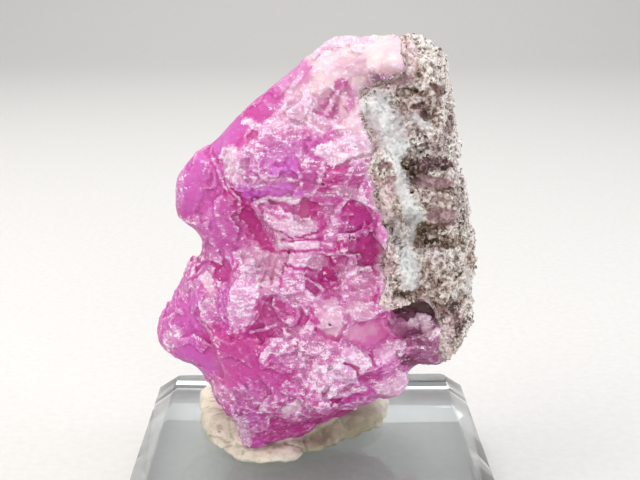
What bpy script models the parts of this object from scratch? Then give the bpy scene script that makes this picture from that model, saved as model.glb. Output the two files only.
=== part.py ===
"""A hand-sized piece of cobaltoan calcite on its host rock, set in mineral putty on a clear display base.

Four solids: the clear bevelled base, the putty pad on it, the pink calcite mass and the grey host rock that
it grew on. The stone stands on its lower left tip and its heel. The front looks along -Y, +Z is up, and the
origin is the middle of the base's underside. Lengths below are millimetres, and the finished meshes metres.
"""

import math

import bmesh
import bpy
from mathutils import Matrix, Vector, noise

MM = 0.001

# Driving dimensions
BASE_SIDE = 38.0
BASE_HEIGHT = 10.0
BASE_BEVEL = 2.6  # the 45 degree bevel round the top face
BASE_EDGE_BREAK = 0.35  # polished edges of the four sides

STONE_HALF_DEPTH = 8.0  # of the flat blank, before the facets are cut into it
STONE_VOXEL = 0.5  # spacing of the blank's mesh
SURFACE_VOXEL = 0.36  # mends what the facets and blocks fold over
STONE_TRIANGLES = 6700
RIM_ROUNDING = 2.6  # how far in from the outline the stone thins towards its edge
RIM_SHARE = 0.42  # thickness left at the outline, as a share of the thickness inside
WIDEST_AT = -1.5  # the Y at which the sides reach the outline
FOOT_HEIGHT = 11.35  # the lowest point of the stone, pressed into the putty
HEEL_SLOPE = math.tan(math.radians(24.0))  # the underside falls backwards to the putty
HEEL_FRONT = -5.0  # the underside starts to fall behind this Y
HEEL_FADE = (12.5, 21.0)  # heights between which the fall fades out
HEEL_LEFT = (-9.5, -6.0)  # X values between which it fades in, and out again on the right
HEEL_RIGHT = (7.0, 10.0)

PUTTY_HEIGHT = 2.3
PUTTY_VOXEL = 0.75
PUTTY_EDGE_ROUNDING = 1.5
PUTTY_EDGE_SHARE = 0.55  # thickness left at the pad's edge
PUTTY_LIP = 0.9  # squeezed up round the foot of the stone
PUTTY_LIP_CENTRE = (-4.0, -1.0)
PUTTY_LIP_SPREAD = 5.0
PUTTY_WRINKLES = (1.4, 0.18)  # their size and height
PUTTY_KEPT = 0.35  # share of the pad's faces left by Decimate
CLEARANCE = 0.3  # between solids that touch

# The stone's outline as seen from the front: (x, z)
OUTLINE = [
    (0.4, 51.1), (1.9, 52.2), (3.8, 52.5), (5.9, 52.3), (7.3, 52.5), (9.7, 52.5), (10.6, 52.0), (11.5, 51.8),
    (12.5, 50.9), (13.1, 49.3), (13.4, 47.2), (13.9, 44.2), (14.4, 42.0), (14.9, 39.6), (15.3, 36.6),
    (15.9, 34.5), (16.4, 32.2), (16.5, 30.2), (16.3, 27.4), (16.4, 24.4), (16.3, 22.2), (15.1, 20.8),
    (14.2, 19.8), (13.7, 19.0), (12.0, 19.3), (10.8, 19.2), (10.1, 18.6), (9.7, 17.6), (8.9, 16.8),
    (7.9, 16.5), (6.8, 16.7), (6.1, 16.0), (4.6, 15.1), (1.8, 14.1), (-1.2, 12.9), (-4.0, 11.8),
    (-5.2, 11.3), (-6.4, 11.2), (-7.4, 11.7), (-8.0, 12.7), (-8.9, 14.0), (-9.8, 14.8), (-10.3, 15.9),
    (-10.5, 17.0), (-11.1, 17.8), (-11.6, 18.9), (-12.5, 19.5), (-13.7, 20.0), (-14.7, 20.3), (-15.5, 21.3),
    (-15.9, 22.5), (-15.6, 24.0), (-14.6, 25.9), (-13.5, 27.8), (-12.7, 29.2), (-12.2, 30.4), (-11.2, 30.8),
    (-11.0, 32.2), (-11.1, 33.5), (-11.6, 34.1), (-12.9, 34.4), (-13.4, 35.6), (-13.5, 37.2), (-13.2, 38.8),
    (-12.3, 40.2), (-11.2, 41.4), (-10.3, 41.7), (-9.5, 42.3), (-6.4, 45.5), (-3.5, 47.9), (-0.9, 50.0),
]

# The broken faces of the front: (x, z, how far the face stands forward, its slope along x, its slope along z)
FRONT_FACETS = {
    "upper lobe": (-11.2, 38.6, 3.6, 0.16, 0.0),
    "upper lobe root": (-9.0, 41.0, 4.7, 0.30, -0.05),
    "wall under the lobe": (-8.6, 34.8, 4.9, -0.04, 0.04),
    "crease": (-6.0, 34.2, 4.0, -0.05, 0.0),
    "crease foot": (-4.1, 31.9, 5.2, 0.0, 0.05),
    "edge band, low": (-7.2, 43.9, 5.4, 0.34, -0.34),
    "edge band, high": (-2.6, 47.9, 5.5, 0.34, -0.34),
    "shoulder corner": (-6.8, 41.2, 7.3, 0.10, 0.05),
    "shoulder": (-3.3, 42.7, 8.3, 0.05, -0.12),
    "shoulder right": (0.3, 42.6, 8.4, 0.0, -0.12),
    "undercut": (-4.6, 38.9, 6.9, 0.0, 0.75),
    "undercut right": (-0.2, 38.9, 7.1, 0.0, 0.60),
    "shelf": (-3.6, 36.7, 8.1, 0.05, -0.10),
    "hollow beside the shelf": (0.3, 36.9, 6.0, 0.0, 0.0),
    "round hollow": (3.6, 36.2, 6.3, 0.0, 0.10),
    "ridge by the contact": (5.0, 39.3, 7.8, 0.10, 0.0),
    "deep hollow": (5.6, 32.6, 5.3, 0.0, 0.0),
    "low hollow": (1.7, 31.1, 5.7, 0.0, 0.12),
    "upper step": (-1.9, 34.4, 7.7, 0.0, -0.10),
    "middle step": (-1.1, 32.3, 8.2, -0.10, 0.0),
    "lower step": (-3.4, 30.2, 8.3, 0.10, 0.0),
    "corner point": (-6.0, 32.0, 7.4, 0.40, 0.12),
    "lower lobe": (-9.8, 28.1, 6.3, 0.34, -0.12),
    "lower lobe edge": (-13.3, 25.6, 4.1, 0.42, 0.0),
    "lower lobe top": (-10.2, 30.6, 4.6, 0.10, -0.34),
    "frosted ledge": (-6.7, 28.2, 8.4, 0.12, -0.05),
    "facet under the ledge": (-3.6, 27.1, 7.0, -0.10, 0.08),
    "sugary middle": (-0.8, 28.6, 8.2, 0.0, -0.06),
    "pale knob": (1.8, 26.0, 9.2, 0.0, 0.10),
    "pale knob right": (4.2, 26.9, 8.5, 0.0, 0.10),
    "smooth face": (-7.6, 22.5, 7.9, 0.22, 0.16),
    "smooth face edge": (-11.2, 21.2, 5.2, 0.46, 0.16),
    "lower middle": (-2.3, 22.9, 8.9, 0.0, 0.08),
    "lower middle, left": (-4.3, 19.4, 8.2, 0.06, 0.16),
    "foot": (-8.2, 16.2, 6.7, 0.22, 0.20),
    "foot tip": (-5.9, 13.2, 5.9, 0.0, 0.28),
    "bottom band": (-0.6, 15.3, 6.8, 0.0, 0.62),
    "bottom band right": (4.3, 17.0, 6.9, 0.0, 0.60),
    "white plate": (1.6, 19.9, 9.6, 0.0, -0.08),
    "white plate, upper": (4.8, 21.9, 9.2, 0.0, -0.08),
    "white plate, right": (7.9, 22.1, 8.4, -0.12, -0.06),
    "gap between the plates": (5.3, 19.2, 7.7, 0.0, 0.0),
    "flake": (8.4, 18.4, 7.0, 0.10, -0.20),
    "rose hollow": (6.2, 24.6, 6.9, -0.16, 0.02),
    "shadowed hollow": (10.2, 26.2, 4.6, 0.0, -0.10),
    "knob in the corner": (11.7, 23.5, 7.3, 0.0, -0.10),
    "under the knob": (10.4, 20.6, 5.6, 0.0, 0.30),
    "pink right": (3.4, 29.2, 7.3, 0.0, 0.0),
    "pink middle": (1.8, 34.0, 7.1, 0.0, 0.0),
    "pale top left": (1.2, 49.0, 6.1, 0.16, -0.26),
    "rose recess": (2.3, 47.0, 5.9, 0.0, 0.0),
    "pale middle": (3.6, 44.9, 7.9, 0.0, -0.10),
    "white ridge": (2.6, 42.0, 8.9, 0.0, -0.15),
    "pale top": (4.4, 51.2, 5.0, 0.0, -0.50),
    "top knob": (7.4, 50.6, 7.2, 0.0, -0.20),
    "shadow under the knob": (6.8, 48.5, 4.9, 0.0, 0.0),
    "granular slope": (-1.0, 45.7, 7.5, 0.10, -0.24),
    "rock top": (10.8, 50.4, 5.6, -0.22, -0.34),
    "rock upper": (10.3, 47.4, 6.7, -0.10, -0.05),
    "rock crust": (6.2, 46.0, 7.5, 0.0, -0.06),
    "rock crust middle": (7.0, 43.1, 7.7, 0.0, 0.0),
    "rock middle": (10.4, 44.2, 7.0, -0.08, 0.0),
    "rock hollow": (11.2, 41.2, 5.2, 0.0, 0.0),
    "rock lens": (11.7, 38.2, 6.0, 0.0, 0.05),
    "tan patch": (6.4, 39.0, 7.3, 0.0, 0.0),
    "rock pale rib": (9.1, 37.4, 7.7, 0.0, 0.0),
    "rock notch": (9.8, 34.9, 5.3, 0.0, 0.0),
    "rock low": (11.4, 31.6, 7.1, -0.05, 0.0),
    "rock left": (7.6, 33.6, 7.9, 0.0, 0.0),
    "rock low left": (8.6, 29.2, 8.0, 0.0, -0.06),
    "rim": (14.9, 34.0, 4.0, -0.70, 0.0),
    "rim, upper": (13.6, 42.6, 4.4, -0.70, 0.0),
    "rim, lower": (15.0, 26.9, 4.0, -0.70, 0.0),
    "rock low right": (12.6, 29.2, 6.6, -0.10, 0.0),
    "rock corner": (13.8, 22.8, 4.5, -0.20, 0.10),
}

# The back is the plain break where the piece left the vein: the same five values, standing backwards
BACK_FACETS = {
    "upper lobe": (-11.4, 38.0, 3.1, 0.16, 0.0),
    "edge band": (-5.6, 43.6, 5.4, 0.22, -0.26),
    "crown": (0.8, 48.0, 5.6, 0.10, -0.30),
    "crown right": (8.6, 49.0, 5.9, -0.05, -0.26),
    "long face": (-3.6, 37.2, 7.7, 0.08, -0.06),
    "middle face": (2.6, 41.4, 8.0, 0.04, -0.14),
    "step down": (0.6, 32.4, 8.9, 0.0, 0.08),
    "neck": (-8.6, 33.6, 5.2, 0.18, 0.0),
    "lower lobe": (-12.4, 25.2, 4.4, 0.34, 0.0),
    "belly": (-5.6, 27.0, 7.6, 0.16, -0.04),
    "rock upper": (9.6, 43.0, 7.2, -0.16, -0.08),
    "rock middle": (11.0, 36.0, 7.4, -0.22, 0.0),
    "rock ledge": (8.4, 30.4, 8.6, -0.06, 0.06),
    "rock low": (12.6, 25.4, 6.2, -0.26, 0.04),
    "heel": (2.0, 20.6, 7.4, 0.0, 0.10),
    "heel left": (-6.2, 19.0, 6.3, 0.16, 0.12),
    "heel right": (8.6, 21.6, 6.7, -0.10, 0.12),
    "toe": (-3.0, 14.4, 5.6, 0.0, 0.20),
}
FACET_WANDER = (2.3, 0.75)  # how often and how far the facets' edges stray
FACET_WANDER_APART = Vector((0.0, 20.0, 0.0))  # sets the noise for z apart from that for x
FACET_BLEND = 0.8  # difference of squared distances over which one facet passes into the next
THINNEST = 1.2  # least depth of a facet

# Where the calcite ends against the rock, seen from the front and going down: (x, z)
CONTACT = [
    (8.1, 56.0), (8.2, 50.8), (8.0, 49.4), (6.2, 48.2), (4.8, 47.2), (5.0, 45.2), (5.9, 43.0), (5.6, 41.0),
    (6.3, 37.9), (6.9, 34.8), (7.3, 32.6), (7.2, 30.4), (6.8, 28.2), (8.4, 27.4), (11.2, 27.4), (12.2, 25.2),
    (12.9, 22.4), (13.0, 19.9), (12.8, 15.0),
]
CONTACT_LEAN = 0.12  # the contact drifts this far towards +X for each millimetre backwards
CONTACT_WAVE = (3.0, 0.6)  # size and depth of its waves
CONTACT_REACH = 13.0  # half the cutter's length along Y
CONTACT_ROWS = 12
CONTACT_BAND = (-0.4, 0.6)  # the surface turns from calcite to rock over this distance

# Blocks, lumps and pits of the surface: (cell size, depth)
SIDE_SWELLS = (6.5, 1.5)  # of the sides, which the facets above don't describe
SIDE_BLOCKS = (3.4, 0.7)
CALCITE_GRAIN = (1.9, 0.2)
ROCK_GRAIN = (1.5, 0.42)
ROCK_PITS = (2.6, 0.75)
MEAN_RELIEF = 0.4  # what cell_relief gives on average

# The putty pad from above: (x, y)
PUTTY_OUTLINE = [
    (-11.3, -0.7), (-10.4, -2.7), (-9.0, -4.2), (-7.3, -5.7), (-5.1, -6.8), (-3.0, -6.4), (-1.0, -5.1),
    (1.9, -3.2), (4.4, -1.2), (7.2, 1.0), (8.3, 3.6), (8.9, 6.8), (8.2, 9.4), (5.6, 11.2), (1.0, 12.0),
    (-4.0, 11.8), (-9.0, 11.6), (-12.2, 10.4), (-13.0, 8.0), (-12.5, 4.2),
]


def clear_scene():
    for obj in list(bpy.data.objects):
        bpy.data.objects.remove(obj, do_unlink=True)


def new_collection(name):
    collection = bpy.data.collections.new(name)
    bpy.context.scene.collection.children.link(collection)
    return collection


def principled(name, colour, roughness, **sockets):
    material = bpy.data.materials.new(name)
    material.use_nodes = True
    shader = material.node_tree.nodes["Principled BSDF"]
    shader.inputs["Base Color"].default_value = (*colour, 1.0)
    shader.inputs["Roughness"].default_value = roughness
    for socket, value in sockets.items():
        shader.inputs[socket.replace("_", " ")].default_value = value
    return material


def evaluated_mesh(obj):
    """The object's mesh with its modifiers applied."""
    graph = bpy.context.evaluated_depsgraph_get()
    return bpy.data.meshes.new_from_object(obj.evaluated_get(graph))


def apply_modifiers(obj):
    """Fixes the modifiers' result in a mesh object of the same name and collection."""
    mesh = evaluated_mesh(obj)
    if obj.type == "MESH":
        obj.modifiers.clear()
        obj.data = mesh
        return obj
    fixed = bpy.data.objects.new(obj.name + " mesh", mesh)
    fixed.matrix_world = obj.matrix_world
    obj.users_collection[0].objects.link(fixed)
    bpy.data.objects.remove(obj)
    return fixed


def weld(mesh, distance):
    work = bmesh.new()
    work.from_mesh(mesh)
    bmesh.ops.remove_doubles(work, verts=work.verts, dist=distance)
    bmesh.ops.triangulate(work, faces=work.faces)
    work.to_mesh(mesh)
    work.free()


def extruded_outline(name, points, half_depth, collection):
    """A flat filled curve through the points, given a thickness, as one closed mesh."""
    curve = bpy.data.curves.new(name, "CURVE")
    curve.dimensions = "2D"
    curve.fill_mode = "BOTH"
    curve.extrude = half_depth
    spline = curve.splines.new("POLY")
    spline.points.add(len(points) - 1)
    for target, (x, y) in zip(spline.points, points):
        target.co = (x, y, 0.0, 1.0)
    spline.use_cyclic_u = True
    obj = bpy.data.objects.new(name, curve)
    collection.objects.link(obj)
    obj = apply_modifiers(obj)
    weld(obj.data, 0.001)
    return obj


def remesh(obj, voxel):
    modifier = obj.modifiers.new("Remesh", "REMESH")
    modifier.mode = "VOXEL"
    modifier.voxel_size = voxel
    apply_modifiers(obj)


def distance_to_outline(x, z, outline):
    nearest = 1e9
    for (ax, az), (bx, bz) in zip(outline, outline[1:] + outline[:1]):
        dx, dz = bx - ax, bz - az
        along = ((x - ax) * dx + (z - az) * dz) / (dx * dx + dz * dz)
        along = min(1.0, max(0.0, along))
        nearest = min(nearest, math.hypot(x - ax - along * dx, z - az - along * dz))
    return nearest


def smoothstep(low, high, value):
    t = min(1.0, max(0.0, (value - low) / (high - low)))
    return t * t * (3.0 - 2.0 * t)


def facet_depth(x, z, facets):
    """How far the surface stands out: the plane of the nearest facet, passing into its neighbours."""
    place = Vector((x, STONE_HALF_DEPTH, z)) / FACET_WANDER[0]
    wx = x + FACET_WANDER[1] * noise.noise(place)
    wz = z + FACET_WANDER[1] * noise.noise(place + FACET_WANDER_APART)
    reach = [((wx - f[0]) ** 2 + (wz - f[1]) ** 2, f) for f in facets]
    nearest = min(r[0] for r in reach)
    total = depth = 0.0
    for squared, (fx, fz, out, slope_x, slope_z) in reach:
        weight = math.exp(-(squared - nearest) / FACET_BLEND)
        if weight > 0.001:
            total += weight
            depth += weight * (out + slope_x * (x - fx) + slope_z * (z - fz))
    return max(THINNEST, depth / total)


def contact_x(z):
    """Where the contact with the rock runs at this height on the front."""
    for (ax, az), (bx, bz) in zip(CONTACT, CONTACT[1:]):
        if bz <= z <= az and az > bz:
            return ax + (bx - ax) * (az - z) / (az - bz)
    return CONTACT[-1][0]


def shape_stone(obj):
    """Turns the flat blank into the stone: thins its edge, cuts the facets and draws the heel down."""
    front = list(FRONT_FACETS.values())
    back = list(BACK_FACETS.values())
    for vertex in obj.data.vertices:
        x, y, z = vertex.co
        inside = min(1.0, distance_to_outline(x, z, OUTLINE) / RIM_ROUNDING)
        thinning = RIM_SHARE + (1.0 - RIM_SHARE) * math.sqrt(1.0 - (1.0 - inside) ** 2)
        depth = facet_depth(x, z, front if y < 0 else back)
        y = y / STONE_HALF_DEPTH * depth * thinning
        fall = HEEL_SLOPE * max(0.0, y - HEEL_FRONT)
        share = 1.0 - smoothstep(*HEEL_FADE, z)
        across = smoothstep(*HEEL_LEFT, x) * (1.0 - smoothstep(*HEEL_RIGHT, x))
        z = max(FOOT_HEIGHT, z - fall * share * across)
        vertex.co = (x, y, z)


def cell_relief(point, size, seed):
    """0 at the edges of irregular cells, rising towards 1 in their middles."""
    distances, _ = noise.voronoi(point / size + Vector((seed, 0.0, 0.0)))
    return min(1.0, distances[1] - distances[0])


def side_break(point, normal):
    """Swells and blocks of the broken sides. Nothing is taken where they reach the outline."""
    off_outline = smoothstep(0.4, 3.2, abs(point.y - WIDEST_AT))
    on_side = 1.0 - smoothstep(0.3, 0.75, abs(normal.y))
    swell = 0.5 - noise.noise(point / SIDE_SWELLS[0] + Vector((0.0, 0.0, 9.0)))
    block = cell_relief(point, SIDE_BLOCKS[0], 23.0)
    return -(SIDE_SWELLS[1] * swell + SIDE_BLOCKS[1] * block) * off_outline * on_side


def roughen_stone(obj):
    """Breaks the surface up: low blocks on the calcite, coarser lumps and pits on the rock."""
    normals = [vertex.normal.copy() for vertex in obj.data.vertices]
    for vertex, normal in zip(obj.data.vertices, normals):
        point = vertex.co.copy()
        beyond_contact = point.x - contact_x(point.z) - CONTACT_LEAN * (point.y + STONE_HALF_DEPTH)
        is_rock = smoothstep(*CONTACT_BAND, beyond_contact)
        calcite = CALCITE_GRAIN[1] * (cell_relief(point, CALCITE_GRAIN[0], 3.0) - MEAN_RELIEF)
        rock = ROCK_GRAIN[1] * (cell_relief(point, ROCK_GRAIN[0], 11.0) - MEAN_RELIEF)
        hollow = noise.noise(point / ROCK_PITS[0] + Vector((0.0, 5.0, 0.0)))
        rock -= ROCK_PITS[1] * smoothstep(0.12, 0.5, hollow)
        move = calcite * (1.0 - is_rock) + rock * is_rock + side_break(point, normal)
        near_foot = smoothstep(FOOT_HEIGHT + 0.2, FOOT_HEIGHT + 1.6, point.z)
        vertex.co = point + normal * move * near_foot


def stone(collection):
    obj = extruded_outline("stone", OUTLINE, STONE_HALF_DEPTH, collection)
    obj.data.transform(Matrix.Rotation(math.radians(90.0), 4, "X"))
    remesh(obj, STONE_VOXEL)
    shape_stone(obj)
    obj.data.update()
    roughen_stone(obj)
    obj.data.update()
    remesh(obj, SURFACE_VOXEL)
    decimate = obj.modifiers.new("Decimate", "DECIMATE")
    decimate.ratio = min(1.0, STONE_TRIANGLES / (2 * len(obj.data.polygons)))
    apply_modifiers(obj)
    return obj


def contact_cutter(collection):
    """A thin wavy sheet along the contact, as thick as the clearance between the two solids."""
    length = len(CONTACT) - 1
    work = bmesh.new()
    bmesh.ops.create_grid(work, x_segments=length * 2, y_segments=CONTACT_ROWS, size=0.5)
    for vertex in work.verts:
        place = (vertex.co.x + 0.5) * length
        step = min(length - 1, int(place))
        (ax, az), (bx, bz) = CONTACT[step], CONTACT[step + 1]
        share = place - step
        y = vertex.co.y * 2.0 * CONTACT_REACH
        x = ax + (bx - ax) * share + CONTACT_LEAN * (y + STONE_HALF_DEPTH)
        z = az + (bz - az) * share
        wave = noise.noise(Vector((y, z, 0.0)) / CONTACT_WAVE[0]) * CONTACT_WAVE[1]
        vertex.co = (x + wave, y, z)
    mesh = bpy.data.meshes.new("contact cutter")
    work.to_mesh(mesh)
    work.free()
    obj = bpy.data.objects.new("contact cutter", mesh)
    collection.objects.link(obj)
    sheet = obj.modifiers.new("Solidify", "SOLIDIFY")
    sheet.thickness = CLEARANCE
    sheet.offset = 0.0
    return apply_modifiers(obj)


def boolean(obj, other, operation):
    modifier = obj.modifiers.new("Boolean", "BOOLEAN")
    modifier.operation = operation
    modifier.object = other
    apply_modifiers(obj)


def islands(mesh):
    """The mesh's separate closed bodies as lists of face indices, the largest first."""
    work = bmesh.new()
    work.from_mesh(mesh)
    left, found = set(work.faces), []
    while left:
        queue, body = [left.pop()], []
        while queue:
            face = queue.pop()
            body.append(face.index)
            for edge in face.edges:
                beside = [other for other in edge.link_faces if other in left]
                left.difference_update(beside)
                queue.extend(beside)
        found.append(body)
    work.free()
    return sorted(found, key=len, reverse=True)


def keep_island(name, mesh, keep, material, collection):
    """A node made of one body of the mesh, in metres."""
    work = bmesh.new()
    work.from_mesh(mesh)
    keep = set(keep)
    bmesh.ops.delete(work, geom=[f for f in work.faces if f.index not in keep], context="FACES")
    bmesh.ops.scale(work, vec=(MM, MM, MM), verts=work.verts)
    made = bpy.data.meshes.new(name)
    work.to_mesh(made)
    work.free()
    made.materials.clear()
    made.materials.append(material)
    made.shade_smooth()
    made.set_sharp_from_angle(angle=math.radians(20.0))
    obj = bpy.data.objects.new(name, made)
    collection.objects.link(obj)
    return obj


def putty(stone_obj, collection, helpers):
    """The pad, squeezed up round the foot of the stone and hollowed to seat it."""
    obj = extruded_outline("pad", PUTTY_OUTLINE, PUTTY_HEIGHT / 2, helpers)
    remesh(obj, PUTTY_VOXEL)
    for vertex in obj.data.vertices:
        x, y, z = vertex.co
        inside = min(1.0, distance_to_outline(x, y, PUTTY_OUTLINE) / PUTTY_EDGE_ROUNDING)
        share = (z + PUTTY_HEIGHT / 2) / PUTTY_HEIGHT  # 0 on the base, 1 on top
        crown = math.sqrt(1.0 - (1.0 - inside) ** 2)
        height = PUTTY_HEIGHT * (PUTTY_EDGE_SHARE + (1.0 - PUTTY_EDGE_SHARE) * crown)
        from_foot = math.dist((x, y), PUTTY_LIP_CENTRE) / PUTTY_LIP_SPREAD
        wrinkle = PUTTY_WRINKLES[1] * noise.noise(Vector((x, y, 0.0)) / PUTTY_WRINKLES[0])
        top = height + PUTTY_LIP * math.exp(-from_foot ** 2) + wrinkle
        vertex.co.z = BASE_HEIGHT + CLEARANCE + share * (top - CLEARANCE)
    obj.data.update()
    seat = bpy.data.objects.new("seat cutter", stone_obj.data.copy())
    helpers.objects.link(seat)
    grow = seat.modifiers.new("Displace", "DISPLACE")
    grow.strength = CLEARANCE
    grow.mid_level = 0.0
    apply_modifiers(seat)
    boolean(obj, seat, "DIFFERENCE")
    decimate = obj.modifiers.new("Decimate", "DECIMATE")
    decimate.ratio = PUTTY_KEPT
    apply_modifiers(obj)
    material = principled("mineral putty", (0.80, 0.74, 0.60), 0.75)
    keep_island("putty_pad", obj.data, islands(obj.data)[0], material, collection)


def display_base(collection):
    work = bmesh.new()
    bmesh.ops.create_cube(work, size=1.0)
    bmesh.ops.scale(work, vec=(BASE_SIDE * MM, BASE_SIDE * MM, BASE_HEIGHT * MM), verts=work.verts)
    bmesh.ops.translate(work, vec=(0.0, 0.0, BASE_HEIGHT * MM / 2), verts=work.verts)
    top = [e for e in work.edges if all(v.co.z > BASE_HEIGHT * MM / 2 for v in e.verts)]
    bmesh.ops.bevel(work, geom=top, offset=BASE_BEVEL * MM, segments=1, affect="EDGES")
    mesh = bpy.data.meshes.new("display_base")
    work.to_mesh(mesh)
    work.free()
    acrylic = principled("clear acrylic", (0.93, 0.96, 0.97), 0.03, Transmission_Weight=1.0, IOR=1.49)
    mesh.materials.append(acrylic)
    obj = bpy.data.objects.new("display_base", mesh)
    collection.objects.link(obj)
    edges = obj.modifiers.new("Edge break", "BEVEL")
    edges.width = BASE_EDGE_BREAK * MM
    edges.segments = 1
    edges.limit_method = "ANGLE"
    edges.angle_limit = math.radians(60.0)


def main():
    clear_scene()
    parts = new_collection("cobaltoan calcite specimen")
    helpers = new_collection("cutters")
    whole = stone(helpers)
    putty(whole, parts, helpers)
    boolean(whole, contact_cutter(helpers), "DIFFERENCE")
    bodies = islands(whole.data)
    places = [sum(whole.data.polygons[i].center.x for i in body) / len(body) for body in bodies[:2]]
    pink, grey = (0, 1) if places[0] < places[1] else (1, 0)
    calcite = principled("cobaltoan calcite", (0.78, 0.16, 0.50), 0.32, Subsurface_Weight=0.3, IOR=1.6)
    rock = principled("host rock", (0.42, 0.38, 0.33), 0.85)
    keep_island("calcite", whole.data, bodies[pink], calcite, parts)
    keep_island("host_rock", whole.data, bodies[grey], rock, parts)
    display_base(parts)
    for obj in list(helpers.objects):
        bpy.data.objects.remove(obj, do_unlink=True)


main()
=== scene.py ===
import itertools
import math
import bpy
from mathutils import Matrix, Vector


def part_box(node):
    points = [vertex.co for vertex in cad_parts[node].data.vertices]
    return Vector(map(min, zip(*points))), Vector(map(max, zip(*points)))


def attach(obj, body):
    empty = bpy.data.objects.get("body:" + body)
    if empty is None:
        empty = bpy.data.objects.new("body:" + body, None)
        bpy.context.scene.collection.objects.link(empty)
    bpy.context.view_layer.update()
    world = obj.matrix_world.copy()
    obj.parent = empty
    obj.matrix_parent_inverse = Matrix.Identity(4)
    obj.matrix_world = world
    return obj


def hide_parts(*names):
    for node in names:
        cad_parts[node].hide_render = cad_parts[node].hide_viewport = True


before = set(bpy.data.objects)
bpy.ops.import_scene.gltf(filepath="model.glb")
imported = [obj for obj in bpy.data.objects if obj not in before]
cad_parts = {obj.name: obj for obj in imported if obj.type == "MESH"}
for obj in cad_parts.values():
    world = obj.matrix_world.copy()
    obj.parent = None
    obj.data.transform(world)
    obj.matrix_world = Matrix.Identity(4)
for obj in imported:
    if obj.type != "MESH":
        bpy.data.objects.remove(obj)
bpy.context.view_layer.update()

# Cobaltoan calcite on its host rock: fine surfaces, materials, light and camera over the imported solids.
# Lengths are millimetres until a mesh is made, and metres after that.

from concurrent.futures import ThreadPoolExecutor

import bmesh
import bpy
import numpy as np
import openvdb
from mathutils import Vector

mm = 0.001

viewpoint = dict(
    place=(-0.509, -97.6, 60.3),
    pitch=-16.172,  # degrees, looking down
    turn=-0.825,
    lens=56.25,
    sensor=36.0,
    picture=(640, 480),  # the view's size in pixels, in which the spots of the marks are given
)
sheetY = -7.0  # marks lie on an upright sheet here, as seen from the viewpoint
partLength = 60000  # points that one thread works on at a time
markDepth = (1.0, 4.0)  # they fade out over these Y values, behind the front of the stone
markFade = (0.5, 1.4)  # and between these shares of a mark's width
markEdges = [(1.5, 0.28), (0.5, 0.13)]  # size and depth of the raggedness of their edges
tableSize = 32  # values along each side of a noise table, a power of two
farAway = 1e9  # further than anything on the part
offSurface = 1e4  # added to the squared distance of a seed that lies off the surface


def linear(colour):
    # an sRGB hex colour as the linear values that a shader takes
    parts = [int(colour[i:i + 2], 16) / 255 for i in (1, 3, 5)]
    return (*[c / 12.92 if c <= 0.04045 else ((c + 0.055) / 1.055) ** 2.4 for c in parts], 1.0)


def smoothstep(low, high, value):
    t = np.clip((value - low) / (high - low), 0.0, 1.0)
    return t * t * (3.0 - 2.0 * t)


def normalised(vectors):
    return vectors / np.maximum(np.linalg.norm(vectors, axis=-1, keepdims=True), 1e-9)


def inParts(work, points, *more):
    # runs the work on parts of the points at once, because each part stands alone
    cuts = range(partLength, len(points), partLength)
    parts = [np.split(array, cuts) for array in (points, *more)]
    with ThreadPoolExecutor(4) as pool:
        results = list(pool.map(work, *parts))
    if isinstance(results[0], tuple):
        return tuple(np.concatenate(column) for column in zip(*results))
    return np.concatenate(results)


def betweenCells(cell, part, table, wrap):
    # a table's values at the cells, blended along all three axes
    x, y, z = [(c, c + 1) if wrap is None else (c & wrap, (c + 1) & wrap) for c in cell]
    _, rows, columns = table.shape
    flat = table.ravel()
    total = 0.0
    for i, j, k in itertools.product((0, 1), repeat=3):
        share = [part[axis] if far else 1.0 - part[axis] for axis, far in enumerate((i, j, k))]
        total = total + share[0] * share[1] * share[2] * flat[(x[i] * rows + y[j]) * columns + z[k]]
    return total


def latticeNoise(points, size, seed):
    # smooth noise from -1 to 1 with lumps of the given size, the same each run
    table = np.random.default_rng(seed).uniform(-1.0, 1.0, (tableSize,) * 3).astype(np.float32)

    def work(places):
        place = (places / np.float32(size)).T
        cell = np.floor(place).astype(np.int32)
        part = place - cell.astype(np.float32)
        return betweenCells(cell, part * part * (3.0 - 2.0 * part), table, tableSize - 1)

    return inParts(work, points)


# A block holds signed distances on voxels: negative inside, in millimetres

def blockAround(nodes, voxel, margin):
    corners = [np.array(corner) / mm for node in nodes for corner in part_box(node)]
    first = np.floor((np.min(corners, axis=0) - margin) / voxel).astype(int)
    last = np.ceil((np.max(corners, axis=0) + margin) / voxel).astype(int)
    return dict(voxel=voxel, first=first, shape=tuple(last - first + 1))


def distanceTo(node, block, reach):
    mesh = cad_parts[node].data
    points = np.empty(len(mesh.vertices) * 3, np.float32)
    mesh.vertices.foreach_get("co", points)
    mesh.calc_loop_triangles()
    corners = np.empty(len(mesh.loop_triangles) * 3, np.int32)
    mesh.loop_triangles.foreach_get("vertices", corners)
    grid = openvdb.FloatGrid.createLevelSetFromPolygons(
        points.reshape(-1, 3) / np.float32(mm),
        triangles=corners.reshape(-1, 3).astype(np.uint32),
        transform=openvdb.createLinearTransform(voxelSize=block["voxel"]),
        halfWidth=reach / block["voxel"],
    )
    values = np.empty(block["shape"], np.float32)
    grid.copyToArray(values, ijk=tuple(int(i) for i in block["first"]))
    return values


def blurred(values, steps, passes):
    # an even blur over this many voxels to either side, along each axis
    for _, axis in itertools.product(range(passes), range(3)):
        turned = np.moveaxis(values, axis, 0)
        edges = [np.repeat(turned[[end]], steps + more, axis=0) for end, more in ((0, 1), (-1, 0))]
        total = np.cumsum(np.concatenate([edges[0], turned, edges[1]]), axis=0, dtype=np.float32)
        width = 2 * steps + 1
        values = np.moveaxis((total[width:] - total[:-width]) / np.float32(width), 0, axis)
    return np.ascontiguousarray(values)


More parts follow.
